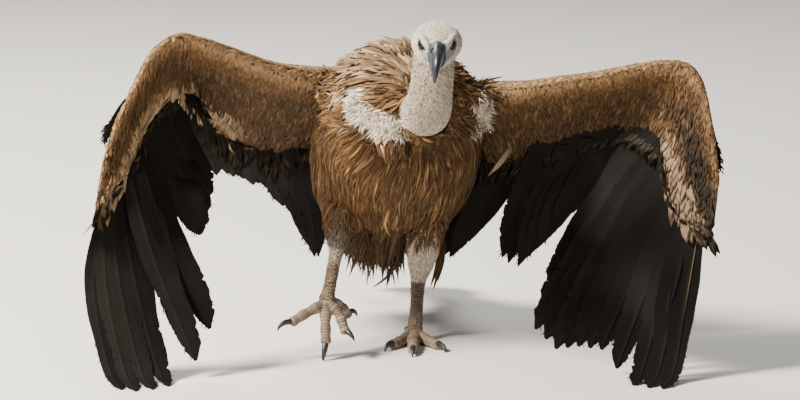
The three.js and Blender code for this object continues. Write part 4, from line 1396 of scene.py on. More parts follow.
def scutes(batch, bed, box, rng):
    """Broad plates across the top of a toe, each over the root of the next."""
    spans = np.linspace(0.35, bed.last - 0.1, SCUTES)
    angles = np.linspace(math.radians(18), math.radians(162), 9)
    top, sole = bed.at(np.full(2, bed.last / 2), np.array([math.pi / 2, -math.pi / 2]))
    if top[2] < sole[2]:
        angles = angles + math.pi
    pitch = spans[1] - spans[0]
    stretches = np.array([-0.1, 0.15, 0.6, 0.92, 1.02])
    proud = np.array([0.1, 0.7, 1.1, 0.8, 0.1])
    rings = []
    for span in spans:
        rows = []
        for step, rise in zip(stretches, proud):
            t = np.full(len(angles), span + pitch * step)
            base = bed.at(t, angles)
            core = bed.at(t, angles + math.pi)
            out = unit(base - (base + core) / 2)
            edge = np.sin((angles - angles[0]) / (angles[-1] - angles[0]) * math.pi) ** 0.4
            upper = base + out * (rise * edge)[:, None]
            lower = base - out * 0.5
            rows.append(np.concatenate([upper, lower[-2:0:-1]]))
        rings.append(rows)
    rings = np.array(rings)
    share = np.linspace(0, 1, len(angles))
    share = np.concatenate([share, share[-2:0:-1]])
    uv = np.empty((SCUTES, len(stretches), len(share), 2))
    uv[..., 0] = box[0] + (box[2] - box[0]) * share
    rows = (np.arange(SCUTES)[:, None] + np.linspace(0.05, 0.95, len(stretches))[None]) / SCUTES
    uv[..., 1] = (box[1] + (box[3] - box[1]) * rows)[:, :, None]
    batch.add(rings, share, mark(np.full(SCUTES, 0.5)), uv, rng, pointed=False)


# ---- Flight feathers ----

# Outlines: shares of the length, and the half width at each
FINGER = ([0, 0.1, 0.3, 0.5, 0.62, 0.8, 0.93, 1], [0.5, 0.8, 1.15, 1.1, 0.86, 0.82, 0.6, 0.1])
BROAD = ([0, 0.15, 0.6, 0.8, 0.9, 0.97, 1], [0.6, 1.0, 1.15, 1.1, 0.85, 0.5, 0.12])
POINTED = ([0, 0.2, 0.62, 0.8, 0.9, 1], [0.6, 1.05, 1.1, 0.82, 0.48, 0.03])
QUILL_ROWS = (("primaries", FINGER, 0.3), ("secondaries", POINTED, 0.3), ("tertials", POINTED, 0.4))
FEATHER_STEPS = 90
LOOSE_BARBS = 26  # on each feather


def control_shafts(wing, feathers, chord=ROOT_CHORD):
    """The shafts of the quills in a table, and their half widths."""
    arm = WingArm(wing)
    lines = []
    for span, tip, _, *bend in feathers:
        bow, *knee = bend or [(0, 0, 0)]
        root = arm.middle([span], [chord])[0]
        half_way = (root + np.array([*knee, tip][0], float)) / 2 + np.array(bow)
        lines.append(shaft_line([root, half_way, *knee, tip], FEATHER_STEPS))
    return np.array(lines), np.array([f[2] for f in feathers], float)


def between(values, places):
    """Rows of a table at fractional places."""
    low = np.minimum(np.floor(places).astype(int), len(values) - 2)
    share = (places - low).reshape(-1, *[1] * (values.ndim - 1))
    return values[low] * (1 - share) + values[low + 1] * share


def worn_edge(n, rng, wear):
    """How much of a web is left along a feather, with notches where its barbs have broken."""
    f = np.linspace(0, 1, FEATHER_STEPS)
    left = 1 - 0.05 * rng.uniform(0, 1, (n, FEATHER_STEPS)) * (0.4 + 1.6 * ease(0.6, 1, f))[None]
    for _ in range(6):
        centre = rng.uniform(0.45, 1.0, n)[:, None] ** 0.7
        width = rng.uniform(0.006, 0.012, n)[:, None]
        depth = (wear * rng.uniform(0, 1, n) ** 2)[:, None]
        left *= 1 - depth * np.clip(1 - np.abs(f[None] - centre) / width, 0, 1)
    return left


def row_of_feathers(batch, lines, halves, shape, rng, wear, tilt=0.12, pale=0.0, webs=(0.8, 1.4)):
    """One row, outermost feather first. Each web reaches over its inner neighbour's."""
    n = len(lines)
    f = np.linspace(0, 1, FEATHER_STEPS)
    if n > 1:
        fanned = np.concatenate([lines[:1], lines[:-1]]) - np.concatenate([lines[1:], lines[-1:]])
    else:
        fanned = np.zeros_like(lines) + [1e-6, 0, 0]
    tangent = unit(np.gradient(lines, axis=1))
    level = across(np.array([1.0, 0, 0]), tangent)
    level *= np.where(dot(level, fanned) < 0, -1, 1)
    share = ease(0.45, 0.8, f)[None, :, None]
    edge = unit(unit(fanned) * (1 - share) + level * share)
    up = np.cross(edge, tangent)
    twist = tilt * (1 - 0.5 * f)[None, :, None]
    edge = edge * np.cos(twist) + up * np.sin(twist)
    width = halves[:, None] * np.interp(f, *shape)[None]
    right = webs[0] * width * worn_edge(n, rng, wear)
    left = webs[1] * width * worn_edge(n, rng, wear)
    rings = blades(lines, edge, left, right)
    marks = mark(rng.uniform(0.1, 0.4, n), pale, 1.0)
    batch.add(rings, BLADE_SHARE, marks, island_uv(n, FEATHER_STEPS), rng, pointed=False)
    frayed_barbs(batch, lines, edge, left, right, marks, rng)


def frayed_barbs(batch, lines, edge, left, right, marks, rng):
    """Loose barbs that stand off the worn edges of the webs."""
    n, m, _ = lines.shape
    which = np.repeat(np.arange(n), LOOSE_BARBS)
    at = (rng.uniform(0.45, 0.985, len(which)) ** 0.8 * (m - 1)).astype(int)
    side = rng.choice([-1.0, 1.0], len(which))
    tangent = unit(np.gradient(lines, axis=1))[which, at]
    outer = edge[which, at] * side[:, None]
    reach = np.where(side > 0, right[which, at], left[which, at]) * 0.86
    start = lines[which, at] + outer * reach[:, None]
    way = unit(outer * rng.uniform(0.25, 0.7, len(which))[:, None] + tangent)
    long = rng.uniform(5, 12, len(which))[:, None]
    line = np.stack([start, start + way * long * 0.5, start + way * long + outer], axis=1)
    normals = np.repeat(np.cross(outer, tangent)[:, None], 3, axis=1)
    wide, keel = np.full(len(which), 2.2), np.full(len(which), 0.3)
    rings = vanes(line, normals, wide, WISP, keel, rng.normal(0, 0.3, len(which)))
    uv = np.stack([(which + 0.02) / n, at / m], axis=1)
    batch.add(rings, THREE_CORNERS, marks[which], uv, rng)


def wing_quills(wing, rng):
    """The primaries, secondaries, tertials and alula of one wing, each a batch."""
    made = {}
    along = np.linspace(0, 1, FEATHER_STEPS)[None, :, None]
    for row, shape, wear in QUILL_ROWS:
        lines, halves = control_shafts(wing, wing[row])
        pale = 0.0
        if row == "primaries":
            places = np.sort(np.concatenate([np.arange(len(lines)), wing["extra_primaries"]]))
            lines, halves = between(lines, places), between(halves, places)
            if wing["name"] == "left":
                pale = np.where(np.arange(len(lines)) == 0, 0.6, 0.0)
        else:
            places = np.linspace(0, len(lines) - 1, wing["vanes"][row])
            lines, halves = between(lines, places), between(halves, places)
            lines = lines + rng.normal(0, 3.0, (len(lines), 1, 3)) * along
            lines = lines[:, :1] + (lines - lines[:, :1]) * (1 + rng.uniform(-0.1, 0.05, (len(lines), 1, 1)))
        made[row] = Feathers()
        row_of_feathers(made[row], lines, halves, shape, rng, wear, pale=pale)
    lines, halves = control_shafts(wing, [wing["alula"]], wing["alula_chord"])
    root_spread = np.array([0, 0, 18.0]) * np.linspace(0, 1, 3)[:, None, None]
    lines = lines + root_spread * np.linspace(0.3, 1, FEATHER_STEPS)[None, :, None]
    halves = np.repeat(halves, 3) * [1, 0.8, 0.6]
    made["alula"] = Feathers()
    row_of_feathers(made["alula"], lines, halves, FINGER, rng, 0.2, webs=(0.28, 0.4))
    return made


def tail_quills(rng):
    """The fan of the tail."""
    root = np.array(TAIL["root"], float)
    lines = []
    for turn in np.linspace(-1, 1, TAIL["quills"]) * TAIL["spread"]:
        reach = TAIL["length"] * (1 - 0.12 * abs(turn))
        tip = root + reach * np.array([math.sin(turn), math.cos(turn), -TAIL["drop"]])
        half_way = (root + tip) / 2 + [0, 0, 6 - 14 * abs(turn)]
        lines.append(shaft_line([root, half_way, tip], FEATHER_STEPS))
    batch = Feathers()
    halves = np.full(len(lines), float(TAIL["half"]))
    row_of_feathers(batch, np.array(lines), halves, BROAD, rng, 0.3, tilt=0.1, webs=(0.9, 0.9))
    return batch


# ---- Bill, eyes and claws ----

BILL_LEAN = 0.13  # how far the hook leans to the right for each millimetre down
BILL_AXIS = ([-row[0] for row in BILL_UPPER], [row[1] for row in BILL_UPPER])
CERE_EDGE = 71  # how far forward
PIT = (74.5, 8.5)  # how far forward and how high each nostril is


def make_bill():
    """Both halves, with a pit at each nostril. Marks: painted shade in the pits and in the crease at the
    cere's edge, worn horn and the hook.
    """
    upper, faces = Loft([[0, *row] for row in BILL_UPPER], power=2.15).shell(56, 12)
    side, high = np.abs(upper[:, 0]), upper[:, 2]
    crease = np.exp(-(((upper[:, 1] + CERE_EDGE) / 1.8) ** 2)) * ease(-9, -4, high)
    nostril = np.exp(-(((upper[:, 1] + PIT[0]) / 3.0) ** 2 + ((high - PIT[1]) / 3.6) ** 2)) * (side > 4)
    upper[:, 0] -= np.sign(upper[:, 0]) * nostril * 3.2
    culmen = ease(5, 0, side) * ease(-4, 8, high - np.interp(-upper[:, 1], *BILL_AXIS))
    upper[:, 2] += 1.2 * culmen
    lower, lower_faces = Loft([[0, *row] for row in BILL_LOWER], power=2.2, cap=0.4).shell(32, 6)
    for part in (upper, lower):
        part[:, 0] -= BILL_LEAN * np.maximum(4 - part[:, 2], 0)
    mesh = plain_mesh("bill", [(on_head(upper), faces), (on_head(lower), lower_faces)])
    # Painted shade: the nostril pits and the crease at the cere's edge are marked dark
    slit = np.concatenate([np.maximum(1.6 * nostril, 0.7 * crease), np.zeros(len(lower))])
    local_y = np.concatenate([upper[:, 1], lower[:, 1]])
    shade = mark(np.minimum(slit, 1), ease(-60, -80, local_y), ease(-96, -112, local_y))
    set_attribute(mesh, "Marks", "FLOAT_COLOR", "color", shade)
    smooth_shaded(mesh)
    return linked("bill", mesh)


def make_eye(sign):
    """An eyeball that bulges over the iris. Its Iris attribute is the angle off the gaze, in degrees."""
    ball, bulge, sides = 9.1, 0.9, 48
    centre, gaze, long_way, short_way = eye_basis(sign)
    turn = np.arange(sides) * 2 * math.pi / sides
    polar = np.radians(np.linspace(3, 177, 44))
    grid_p, grid_a = (g.ravel()[:, None] for g in np.meshgrid(polar, turn, indexing="ij"))
    out = np.cos(grid_p) * gaze + np.sin(grid_p) * (np.cos(grid_a) * long_way + np.sin(grid_a) * short_way)
    rings = centre + out * (ball + bulge * ease(46, 20, np.degrees(grid_p)))
    poles = np.array([centre + gaze * (ball + bulge), centre - gaze * ball])
    points, faces = closed_shell(rings, poles, sides)
    name = "eye_left" if sign > 0 else "eye_right"
    mesh = plain_mesh(f"{name}_ball", [(on_head(points), faces)])
    smooth_shaded(mesh)
    angles = np.concatenate([np.degrees(grid_p[:, 0]), [0, 180]])
    set_attribute(mesh, "Iris", "FLOAT", "value", angles)
    return linked(f"{name}_ball", mesh)


def make_claws():
    """The claws. The red of their Marks runs from 0 at the root to 1 at the point."""
    shells, wear, sides = [], [], 20
    for toes in TOES.values():
        for _, claw in toes.values():
            shells.append(Loft(claw, cap=0.8).shell(sides, 8))
            span = np.repeat(np.linspace(0, 1, (len(shells[-1][0]) - 2) // sides), sides)
            wear.append(np.concatenate([span, [0, 1]]))
    mesh = plain_mesh("claws", shells)
    set_attribute(mesh, "Marks", "FLOAT_COLOR", "color", mark(np.concatenate(wear)))
    smooth_shaded(mesh)
    return linked("claws", mesh)


# ---- Shader maths ----


class Wire:
    """An output of a shader node. Sums of wires and numbers add Math nodes."""

    def __init__(self, tree, socket=None):
        self.tree, self.socket = tree, socket

    def node(self, kind, settings=None, sockets=None, out=0):
        """Adds any node: its settings first, then a value or a wire for each of its sockets."""
        made = self.tree.nodes.new(kind)
        for name, value in (settings or {}).items():
            setattr(made, name, value)
        for name, value in (sockets or {}).items():
            entry = made.inputs[name]
            if isinstance(value, Wire):
                self.tree.links.new(value.socket, entry)
            elif entry.type == "RGBA":
                entry.default_value = (*value, 1)
            else:
                entry.default_value = value
        return Wire(self.tree, made.outputs[out] if len(made.outputs) else None)

    def out(self, name):
        return Wire(self.tree, self.socket.node.outputs[name])

    def math(self, operation, first, second):
        return self.node("ShaderNodeMath", {"operation": operation}, {0: first, 1: second})

    def __add__(self, other):
        return self.math("ADD", self, other)

    def __radd__(self, other):
        return self.math("ADD", other, self)

    def __sub__(self, other):
        return self.math("SUBTRACT", self, other)

    def __rsub__(self, other):
        return self.math("SUBTRACT", other, self)

    def __mul__(self, other):
        return self.math("MULTIPLY", self, other)

    def __rmul__(self, other):
        return self.math("MULTIPLY", other, self)

    def __abs__(self):
        return self.node("ShaderNodeMath", {"operation": "ABSOLUTE"}, {0: self})

    def step(self, low, high):
        """A smooth step from 0 at low to 1 at high."""
        return self.node(
            "ShaderNodeMapRange",
            {"interpolation_type": "SMOOTHSTEP"},
            {"Value": self, "From Min": low, "From Max": high},
        )

    def pick(self, a, b):
        """Colour a where this is 0 and colour b where it is 1."""
        return self.node("ShaderNodeMix", {"data_type": "RGBA"}, {0: self, 6: a, 7: b}, out=2)

    def scaled(self, amount):
        """This colour or vector times a number."""
        return self.node("ShaderNodeVectorMath", {"operation": "SCALE"}, {0: self, "Scale": amount})

    def noise(self, scale, detail=2.0):
        """Noise over this vector."""
        return self.node("ShaderNodeTexNoise", {}, {"Vector": self, "Scale": scale, "Detail": detail})

    def ripple(self):
        """Noise along this number."""
        return self.node(
            "ShaderNodeTexNoise", {"noise_dimensions": "1D"}, {"W": self, "Scale": 1.0, "Detail": 2.0}
        )

    def split(self):
        """The three parts of this colour or vector."""
        if self.socket.type == "VECTOR":
            return [self.node("ShaderNodeSeparateXYZ", {}, {0: self}).out(axis) for axis in "XYZ"]
        parts = self.node("ShaderNodeSeparateColor", {}, {0: self})
        return [parts.out(channel) for channel in ("Red", "Green", "Blue")]


def new_material(name):
    material = bpy.data.materials.new(name)
    material.use_nodes = True
    material.node_tree.nodes.clear()
    return material, Wire(material.node_tree)


def attribute(start, name, out="Fac"):
    return start.node("ShaderNodeAttribute", {"attribute_name": name}, {}, out)


def places_on(start):
    return start.node("ShaderNodeTexCoord", out="Object")


def surfaced(material, start, colour, roughness, gloss, height=None, depth=0.0, **constants):
    """Ends a material: a Principled shader, with bump where a height is given, in metres of depth."""
    sockets = {"Base Color": colour, "Roughness": roughness, "Specular IOR Level": gloss}
    sockets |= {name.replace("_", " "): value for name, value in constants.items()}
    if height is not None:
        sockets["Normal"] = start.node("ShaderNodeBump", {}, {"Height": height, "Distance": depth})
    shader = start.node("ShaderNodeBsdfPrincipled", {}, sockets)
    start.node("ShaderNodeOutputMaterial", {}, {"Surface": shader})
    return material


# Each kind of feather: how pale its shaft and its rim are, barbs along it, gloss, roughness, how light its
# root is left under the painted shade there, depth of its barbs in metres, how unlike its neighbours it
# is, and the shaft of a bleached one
FINISHES = {
    "Body feathers": (0.55, 0.1, 90.0, 0.12, 0.8, 0.45, 0.0003, 0.6, 0.0),
    "Coverts": (0.25, 0.1, 110.0, 0.12, 0.75, 0.7, 0.0002, 0.35, 0.0),
    "Down": (0.0, 0.0, 12.0, 0.1, 0.9, 0.65, 0.0003, 0.6, 0.0),
    "Flight feathers": (0.012, 0.0, 300.0, 0.06, 0.65, 0.9, 0.0003, 0.5, 0.5),
}


def feather_material(name, look):
    """Feathers coloured by their marks, with a paler shaft, a rim, fine barbs and painted shade towards the
    root.
    """
    if name in bpy.data.materials:
        return bpy.data.materials[name]
    stripe, rim, barb_scale, gloss, roughness, root_painted_light, depth, spread, rachis = FINISHES[name]
    material, start = new_material(name)
    across_share, along, lot = attribute(start, "Vane", "Vector").split()
    marks = attribute(start, "Marks", "Color")
    rust, pale, dark = marks.split()
    white = marks.out("Alpha")
    off = abs(across_share - 0.5) * 2.0
    barbs = (along * barb_scale - off * 0.22 * barb_scale + lot * 90.0).ripple()
    blotch = places_on(start).noise(22.0)
    plain = 1.0 - white
    colour = (rust + (blotch - 0.5) * 0.5).pick(look.brown, look.tawny)
    colour = (pale + (lot - 0.7) * 0.3 * plain).pick(colour, look.buff)
    colour = dark.pick(colour, look.quill)
    colour = (off.step(0.62, 1.0) * rim * plain).pick(colour, look.buff)
    shaft = off.step(0.2, 0.03) * along.step(0.05, 0.4) * (1.0 - dark * 0.7)
    colour = (shaft * stripe * plain).pick(colour, look.buff)
    bleached = off.step(0.06, 0.02) * pale.step(0.4, 0.5) * along.step(0.55, 0.2) * rachis
    colour = bleached.pick(colour, look.buff)
    colour = (white * (1.1 - 0.3 * blotch)).pick(colour, look.cream)
    # Painted shade: each feather is darker towards its root, under the feathers that lie over it
    painted_root_shade = root_painted_light + (1.0 - root_painted_light) * along.step(0.0, 0.45)
    shade = painted_root_shade * (1.0 - 0.5 * spread + spread * lot) * (0.6 + 0.8 * barbs) * (0.7 + 0.6 * blotch)
    return surfaced(material, start, colour.scaled(shade), roughness, gloss, barbs, depth)


def skin_material(look):
    """Scaly, slate, downy or bare skin, by its regions."""
    material, start = new_material("Skin")
    regions = attribute(start, "Regions", "Color")
    legs, cere, downy = regions.split()
    ring = regions.out("Alpha")
    place = places_on(start)
    fine, broad = place.noise(900.0, 3.0), place.noise(60.0, 2.0)
    colour = downy.pick(look.brown, look.cream)
    # Darkened to a quarter to three quarters: partly the skin's own tone, partly painted shade between the
    # tufts
    colour = colour.scaled(0.25 + 0.5 * fine)
    scaly = (broad + (fine - 0.5) * 0.6).step(0.3, 0.7).pick(look.leg_dark, look.leg)
    colour = legs.pick(colour, scaly)
    slate = (fine + broad - 0.5).step(0.25, 0.75).pick(look.slate_dark, look.slate)
    colour = ring.step(0.1, 0.6).pick(colour, slate)
    colour = cere.pick(colour, fine.pick(look.slate_dark, look.bill))
    colour = ring.step(0.75, 1.0).pick(colour, look.lid)
    bare = (cere + ring).step(0.2, 0.8)
    return surfaced(material, start, colour, 0.75 - 0.3 * bare, 0.35, fine, 0.0006)


def scale_material(look):
    """Scales with dark seams between them."""
    material, start = new_material("Leg scales")
    across_share, along, lot = attribute(start, "Vane", "Vector").split()
    fine = places_on(start).noise(1100.0, 3.0)
    off = abs(across_share - 0.5) * 2.0
    seam = along.step(0.5, 0.85) + along.step(0.22, 0.0) + off.step(0.85, 1.0)
    colour = (lot * 0.6 + fine * 0.5).pick(look.leg_dark, look.leg)
    colour = (seam * 0.85).pick(colour, look.leg_dark)
    return surfaced(material, start, colour, 0.5 + 0.25 * fine, 0.4, fine, 0.0004)


def bill_material(look):
    """Clouded horn, worn pale towards the hook, with painted shade in the nostrils and in the crease at the
    cere.
    """
    material, start = new_material("Bill horn")
    nostril, worn, tip = attribute(start, "Marks", "Color").split()
    place = places_on(start)
    cloud, grain = place.noise(70.0, 3.0), place.noise(600.0, 3.0)
    colour = (cloud + (grain - 0.5) * 0.4).step(0.25, 0.75).pick(look.bill_dark, look.bill)
    colour = (worn * 0.35).pick(colour, look.bill_pale)
    colour = (tip * 0.6).pick(colour, look.bill_dark)
    # Painted shade: the nostril pits and the cere's crease take the near black of the pupil
    colour = nostril.step(0.2, 0.6).pick(colour, look.pupil)
    return surfaced(material, start, colour, 0.22 + 0.16 * grain, 0.4, grain, 0.00012)


def eye_material(look):
    """Pupil, iris and dark rim by the angle off the gaze, under a clear coat."""
    material, start = new_material("Eye")
    angle = attribute(start, "Iris")
    fleck = places_on(start).noise(1500.0, 2.0)
    colour = (fleck + angle * 0.01).step(0.3, 1.0).pick(look.iris_dark, look.iris)
    colour = angle.step(14.5, 13.0).pick(colour, look.pupil)
    colour = angle.step(36.0, 42.0).pick(colour, look.pupil)
    coat = {"Coat_Weight": 0.8, "Coat_Roughness": 0.02, "Coat_IOR": 1.38}
    return surfaced(material, start, colour, 0.25, 0.0, **coat)


def claw_material(look):
    """Dark horn, paler at its root."""
    material, start = new_material("Claw horn")
    wear = attribute(start, "Marks", "Color").split()[0]
    grain = places_on(start).noise(700.0, 3.0)
    colour = (wear.step(0.3, 0.0) * 0.5 + grain * 0.2).pick(look.claw, look.leg_dark)
    return surfaced(material, start, colour, 0.3 + 0.25 * grain, 0.5, grain, 0.0002)


def floor_material(colour):
    material, start = new_material("Floor")
    return surfaced(material, start, colour, 0.9, 0.5)


# ---- Settings ----


def colour_setting(name, description, default):
    return bpy.props.FloatVectorProperty(
        name=name, description=description, default=default, subtype="COLOR", min=0, max=1
    )


def depth_setting(name, default):
    return bpy.props.FloatProperty(
        name=name, description="How far the skin lies under the outline of this part", default=default,
        min=0, max=0.05, subtype="DISTANCE", unit="LENGTH",
    )


def power_setting(name, description, default):
    return bpy.props.FloatProperty(
        name=name, description=description, default=default, min=0, max=5000, unit="POWER"
    )


class VultureSizes(bpy.types.PropertyGroup):
    """How deep the coat is, and how fine the skin is."""

    body: depth_setting("Body coat", 0.013)
    ruff: depth_setting("Ruff", 0.012)
    wing: depth_setting("Wing coverts", 0.007)
    thigh: depth_setting("Thigh coat", 0.008)
    shank: depth_setting("Shank coat", 0.004)
    neck: depth_setting("Neck down", 0.003)
    head: depth_setting("Head down", 0.0015)
    tail: depth_setting("Tail coverts", 0.009)
    voxel: bpy.props.FloatProperty(
        name="Skin grain", description="Size of the skin's faces before they are thinned out", default=0.0019,
        min=0.0015, max=0.006, subtype="DISTANCE", unit="LENGTH",
    )
    covered_share: bpy.props.FloatProperty(
        name="Covered faces kept", description="Share of the faces kept under the plumage", default=0.19,
        min=0.02, max=1, subtype="FACTOR",
    )
    seed: bpy.props.IntProperty(name="Seed", description="Start of the random draws", default=7, min=0)


class VultureColours(bpy.types.PropertyGroup):
    """Colours of the plumage, horn and bare skin."""

    tawny: colour_setting("Tawny", "Rufous feathers of the breast", (0.16, 0.074, 0.0225))
    brown: colour_setting("Brown", "Plain body feathers", (0.052, 0.029, 0.0145))
    buff: colour_setting("Buff", "Shafts, rims and the sandy edge of the wing", (0.38, 0.235, 0.115))
    cream: colour_setting("Cream", "Down of the head and neck", (0.90, 0.80, 0.655))
    quill: colour_setting("Quill", "Flight and tail feathers", (0.0085, 0.0075, 0.0062))
    slate: colour_setting("Slate", "Bare skin round the eyes", (0.21, 0.25, 0.31))
    slate_dark: colour_setting("Dark slate", "Creases of the bare skin and the cere", (0.04, 0.048, 0.062))
    # The lids' colour is also the painted shade at the nostril slits of the skin
    lid: colour_setting("Lids", "Rims of the eyes", (0.010, 0.010, 0.012))
    bill: colour_setting("Bill", "Horn of the bill", (0.026, 0.034, 0.049))
    bill_dark: colour_setting("Dark bill", "Clouded horn of the bill", (0.016, 0.020, 0.027))
    bill_pale: colour_setting("Worn bill", "Worn horn towards the hook", (0.045, 0.05, 0.06))
    iris: colour_setting("Iris", "Outer iris", (0.009, 0.005, 0.003))
    iris_dark: colour_setting("Inner iris", "Iris round the pupil", (0.003, 0.002, 0.0015))
    # The pupil's colour is also the painted shade in the nostril pits and the cere's crease
    pupil: colour_setting("Pupil", "Pupil and nostrils", (0.004, 0.004, 0.004))
    leg: colour_setting("Leg", "Scales of the legs", (0.37, 0.268, 0.185))
    leg_dark: colour_setting("Dark leg", "Seams between the scales", (0.075, 0.052, 0.038))
    claw: colour_setting("Claw", "Horn of the claws", (0.014, 0.012, 0.012))


class VultureStage(bpy.types.PropertyGroup):
    """Floor, lights and camera."""

    floor: colour_setting("Floor", "Colour of the floor", (0.72, 0.70, 0.67))
    world: colour_setting("Surroundings", "Colour of the light from all round", (0.88, 0.90, 0.94))
    world_strength: bpy.props.FloatProperty(
        name="Surroundings' strength", description="Strength of the light from all round", default=0.3,
        min=0, max=5,
    )
    key: power_setting("Key light", "Power of the main light", 780)
    fill: power_setting("Fill light", "Power of the light from the right", 10)
    rim: power_setting("Rim light", "Power of the light from behind", 150)
    lens: bpy.props.FloatProperty(
        name="Lens", description="Focal length", default=264.7, min=20, max=1000, unit="CAMERA"
    )


# ---- Operators ----


def put(obj, material, nodes=()):
    """Gives a piece its finish, its body and the solids that it stands for."""
    obj.data.materials.append(material)
    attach(obj, "root")
    if nodes:
        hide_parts(*nodes)


COATED = ("body", "ruff", "wing", "thigh", "shank", "neck", "head", "tail")


def coat_depths(sizes):
    """How deep the coat is over each part of the body, in millimetres."""
    return {part: getattr(sizes, part) * 1000 for part in COATED}


SURFACE = {}


def ground(context):
    """The skin and the beds on it, worked out once for each skin."""
    obj = bpy.data.objects["skin"]
    if SURFACE.get("mesh") != obj.data.name:
        made = beds(coat_depths(context.scene.vulture_sizes))
        SURFACE.update(mesh=obj.data.name, skin=Skin(obj), beds=made)
    return SURFACE["skin"], SURFACE["beds"]


def draws(context, lot):
    """The random draws of one piece."""
    return np.random.default_rng([context.scene.vulture_sizes.seed, lot])


class VULTURE_OT_skin(bpy.types.Operator):
    """One skin over the head, neck, body, wings, legs and toes"""

    bl_idname = "vulture.skin"
    bl_label = "Skin"

    def execute(self, context):
        sizes = context.scene.vulture_sizes
        obj = make_skin(coat_depths(sizes), sizes.voxel, sizes.covered_share)
        put(obj, skin_material(context.scene.vulture_colours), FLESH)
        return {"FINISHED"}


class VULTURE_OT_head_down(bpy.types.Operator):
    """Short down on the head and neck"""

    bl_idname = "vulture.head_down"
    bl_label = "Head down"

    def execute(self, context):
        skin, made = ground(context)
        obj = head_down(skin, made, draws(context, 1)).build("head_down")
        put(obj, feather_material("Down", context.scene.vulture_colours))
        return {"FINISHED"}


class VULTURE_OT_body_coat(bpy.types.Operator):
    """Feathers of the breast, belly, back and ruff, and the white down between them"""

    bl_idname = "vulture.body_coat"
    bl_label = "Body coat"

    def execute(self, context):
        skin, made = ground(context)
        look = context.scene.vulture_colours
        down = shoulder_down(skin, made, draws(context, 11))
        under, loose, over = body_coat(skin, made, draws(context, 2))
        ruff = ruff_coat(skin, made, draws(context, 3))
        put(down.build("shoulder_down"), feather_material("Down", look))
        put(under.build("breast_coat"), feather_material("Body feathers", look))
        put(loose.build("breast_plumes"), feather_material("Body feathers", look))
        put(over.build("back_coat"), feather_material("Coverts", look))
        put(ruff.build("ruff_coat"), feather_material("Body feathers", look))
        return {"FINISHED"}


class VULTURE_OT_wing_coverts(bpy.types.Operator):
    """Covert feathers on both sides of each wing"""

    bl_idname = "vulture.wing_coverts"
    bl_label = "Wing coverts"

    def execute(self, context):
        skin, made = ground(context)
        material = feather_material("Coverts", context.scene.vulture_colours)
        for lot, wing in enumerate(WINGS):
            under, over = wing_coat(skin, made, wing, draws(context, 4 + lot))
            put(under.build(f"wing_{wing['name']}_under_coverts"), material)
            put(over.build(f"wing_{wing['name']}_upper_coverts"), material)
        return {"FINISHED"}


class VULTURE_OT_leg_coat(bpy.types.Operator):
    """Feathers of the thighs and down of the shanks"""

    bl_idname = "vulture.leg_coat"
    bl_label = "Leg coat"

    def execute(self, context):
        skin, made = ground(context)
        obj = leg_coat(skin, made, draws(context, 6)).build("leg_coat")
        put(obj, feather_material("Body feathers", context.scene.vulture_colours))
        return {"FINISHED"}


class VULTURE_OT_stray_feathers(bpy.types.Operator):
    """Single feathers out of place on the breast, belly, shank and wing"""

    bl_idname = "vulture.stray_feathers"
    bl_label = "Stray feathers"

    def execute(self, context):
        obj = stray_feathers(draws(context, 12)).build("stray_feathers")
        put(obj, feather_material("Body feathers", context.scene.vulture_colours))
        return {"FINISHED"}


class VULTURE_OT_scales(bpy.types.Operator):
    """Scales of the bare shanks and plates across the toes"""

    bl_idname = "vulture.scales"
    bl_label = "Scales"

    def execute(self, context):
        skin, made = ground(context)
        obj = leg_scales(skin, made, draws(context, 7)).build("leg_plates")
        put(obj, scale_material(context.scene.vulture_colours))
        return {"FINISHED"}


class VULTURE_OT_flight_feathers(bpy.types.Operator):
    """Primaries, secondaries, tertials and alula of each wing, and the tail"""

    bl_idname = "vulture.flight_feathers"
    bl_label = "Flight feathers"

    def execute(self, context):
        material = feather_material("Flight feathers", context.scene.vulture_colours)
        for lot, wing in enumerate(WINGS):
            for row, batch in wing_quills(wing, draws(context, 8 + lot)).items():
                node = f"wing_{wing['name']}_{row}"
                put(batch.build(f"{node}_vanes"), material, [node])
        put(tail_quills(draws(context, 10)).build("tail_vanes"), material, ["tail"])
        return {"FINISHED"}


class VULTURE_OT_bill(bpy.types.Operator):
    """Both halves of the bill"""

    bl_idname = "vulture.bill"
    bl_label = "Bill"

    def execute(self, context):
        material = bill_material(context.scene.vulture_colours)
        put(make_bill(), material, ["bill_upper", "bill_lower"])
        return {"FINISHED"}


class VULTURE_OT_eyes(bpy.types.Operator):
    """Both eyes"""

    bl_idname = "vulture.eyes"
    bl_label = "Eyes"

    def execute(self, context):
        material = eye_material(context.scene.vulture_colours)
        for side, sign in (("right", -1), ("left", 1)):
            put(make_eye(sign), material, [f"eye_{side}"])
        return {"FINISHED"}


class VULTURE_OT_claws(bpy.types.Operator):
    """The eight claws"""

    bl_idname = "vulture.claws"
    bl_label = "Claws"

    def execute(self, context):
        nodes = [f"claw_{side}_{toe}" for side, toes in TOES.items() for toe in toes]
        put(make_claws(), claw_material(context.scene.vulture_colours), nodes)
        return {"FINISHED"}


def area_light(name, place, size, power, colour):
    """A square light that faces the bird."""
    light = bpy.data.lights.new(name, "AREA")
    light.size, light.energy, light.color = size, power, colour
    obj = linked(name, light)
    obj.location = place
    obj.rotation_euler = (Vector(AIM) - Vector(place)).to_track_quat("-Z", "Y").to_euler()


FLOOR_REACH = 20.0  # metres
AIM = (0, 0, 0.3)
CAMERA_AT = np.array([-4.25, -9848.0, 1986.3])  # in the design frame
CAMERA_TILT = math.radians(80)


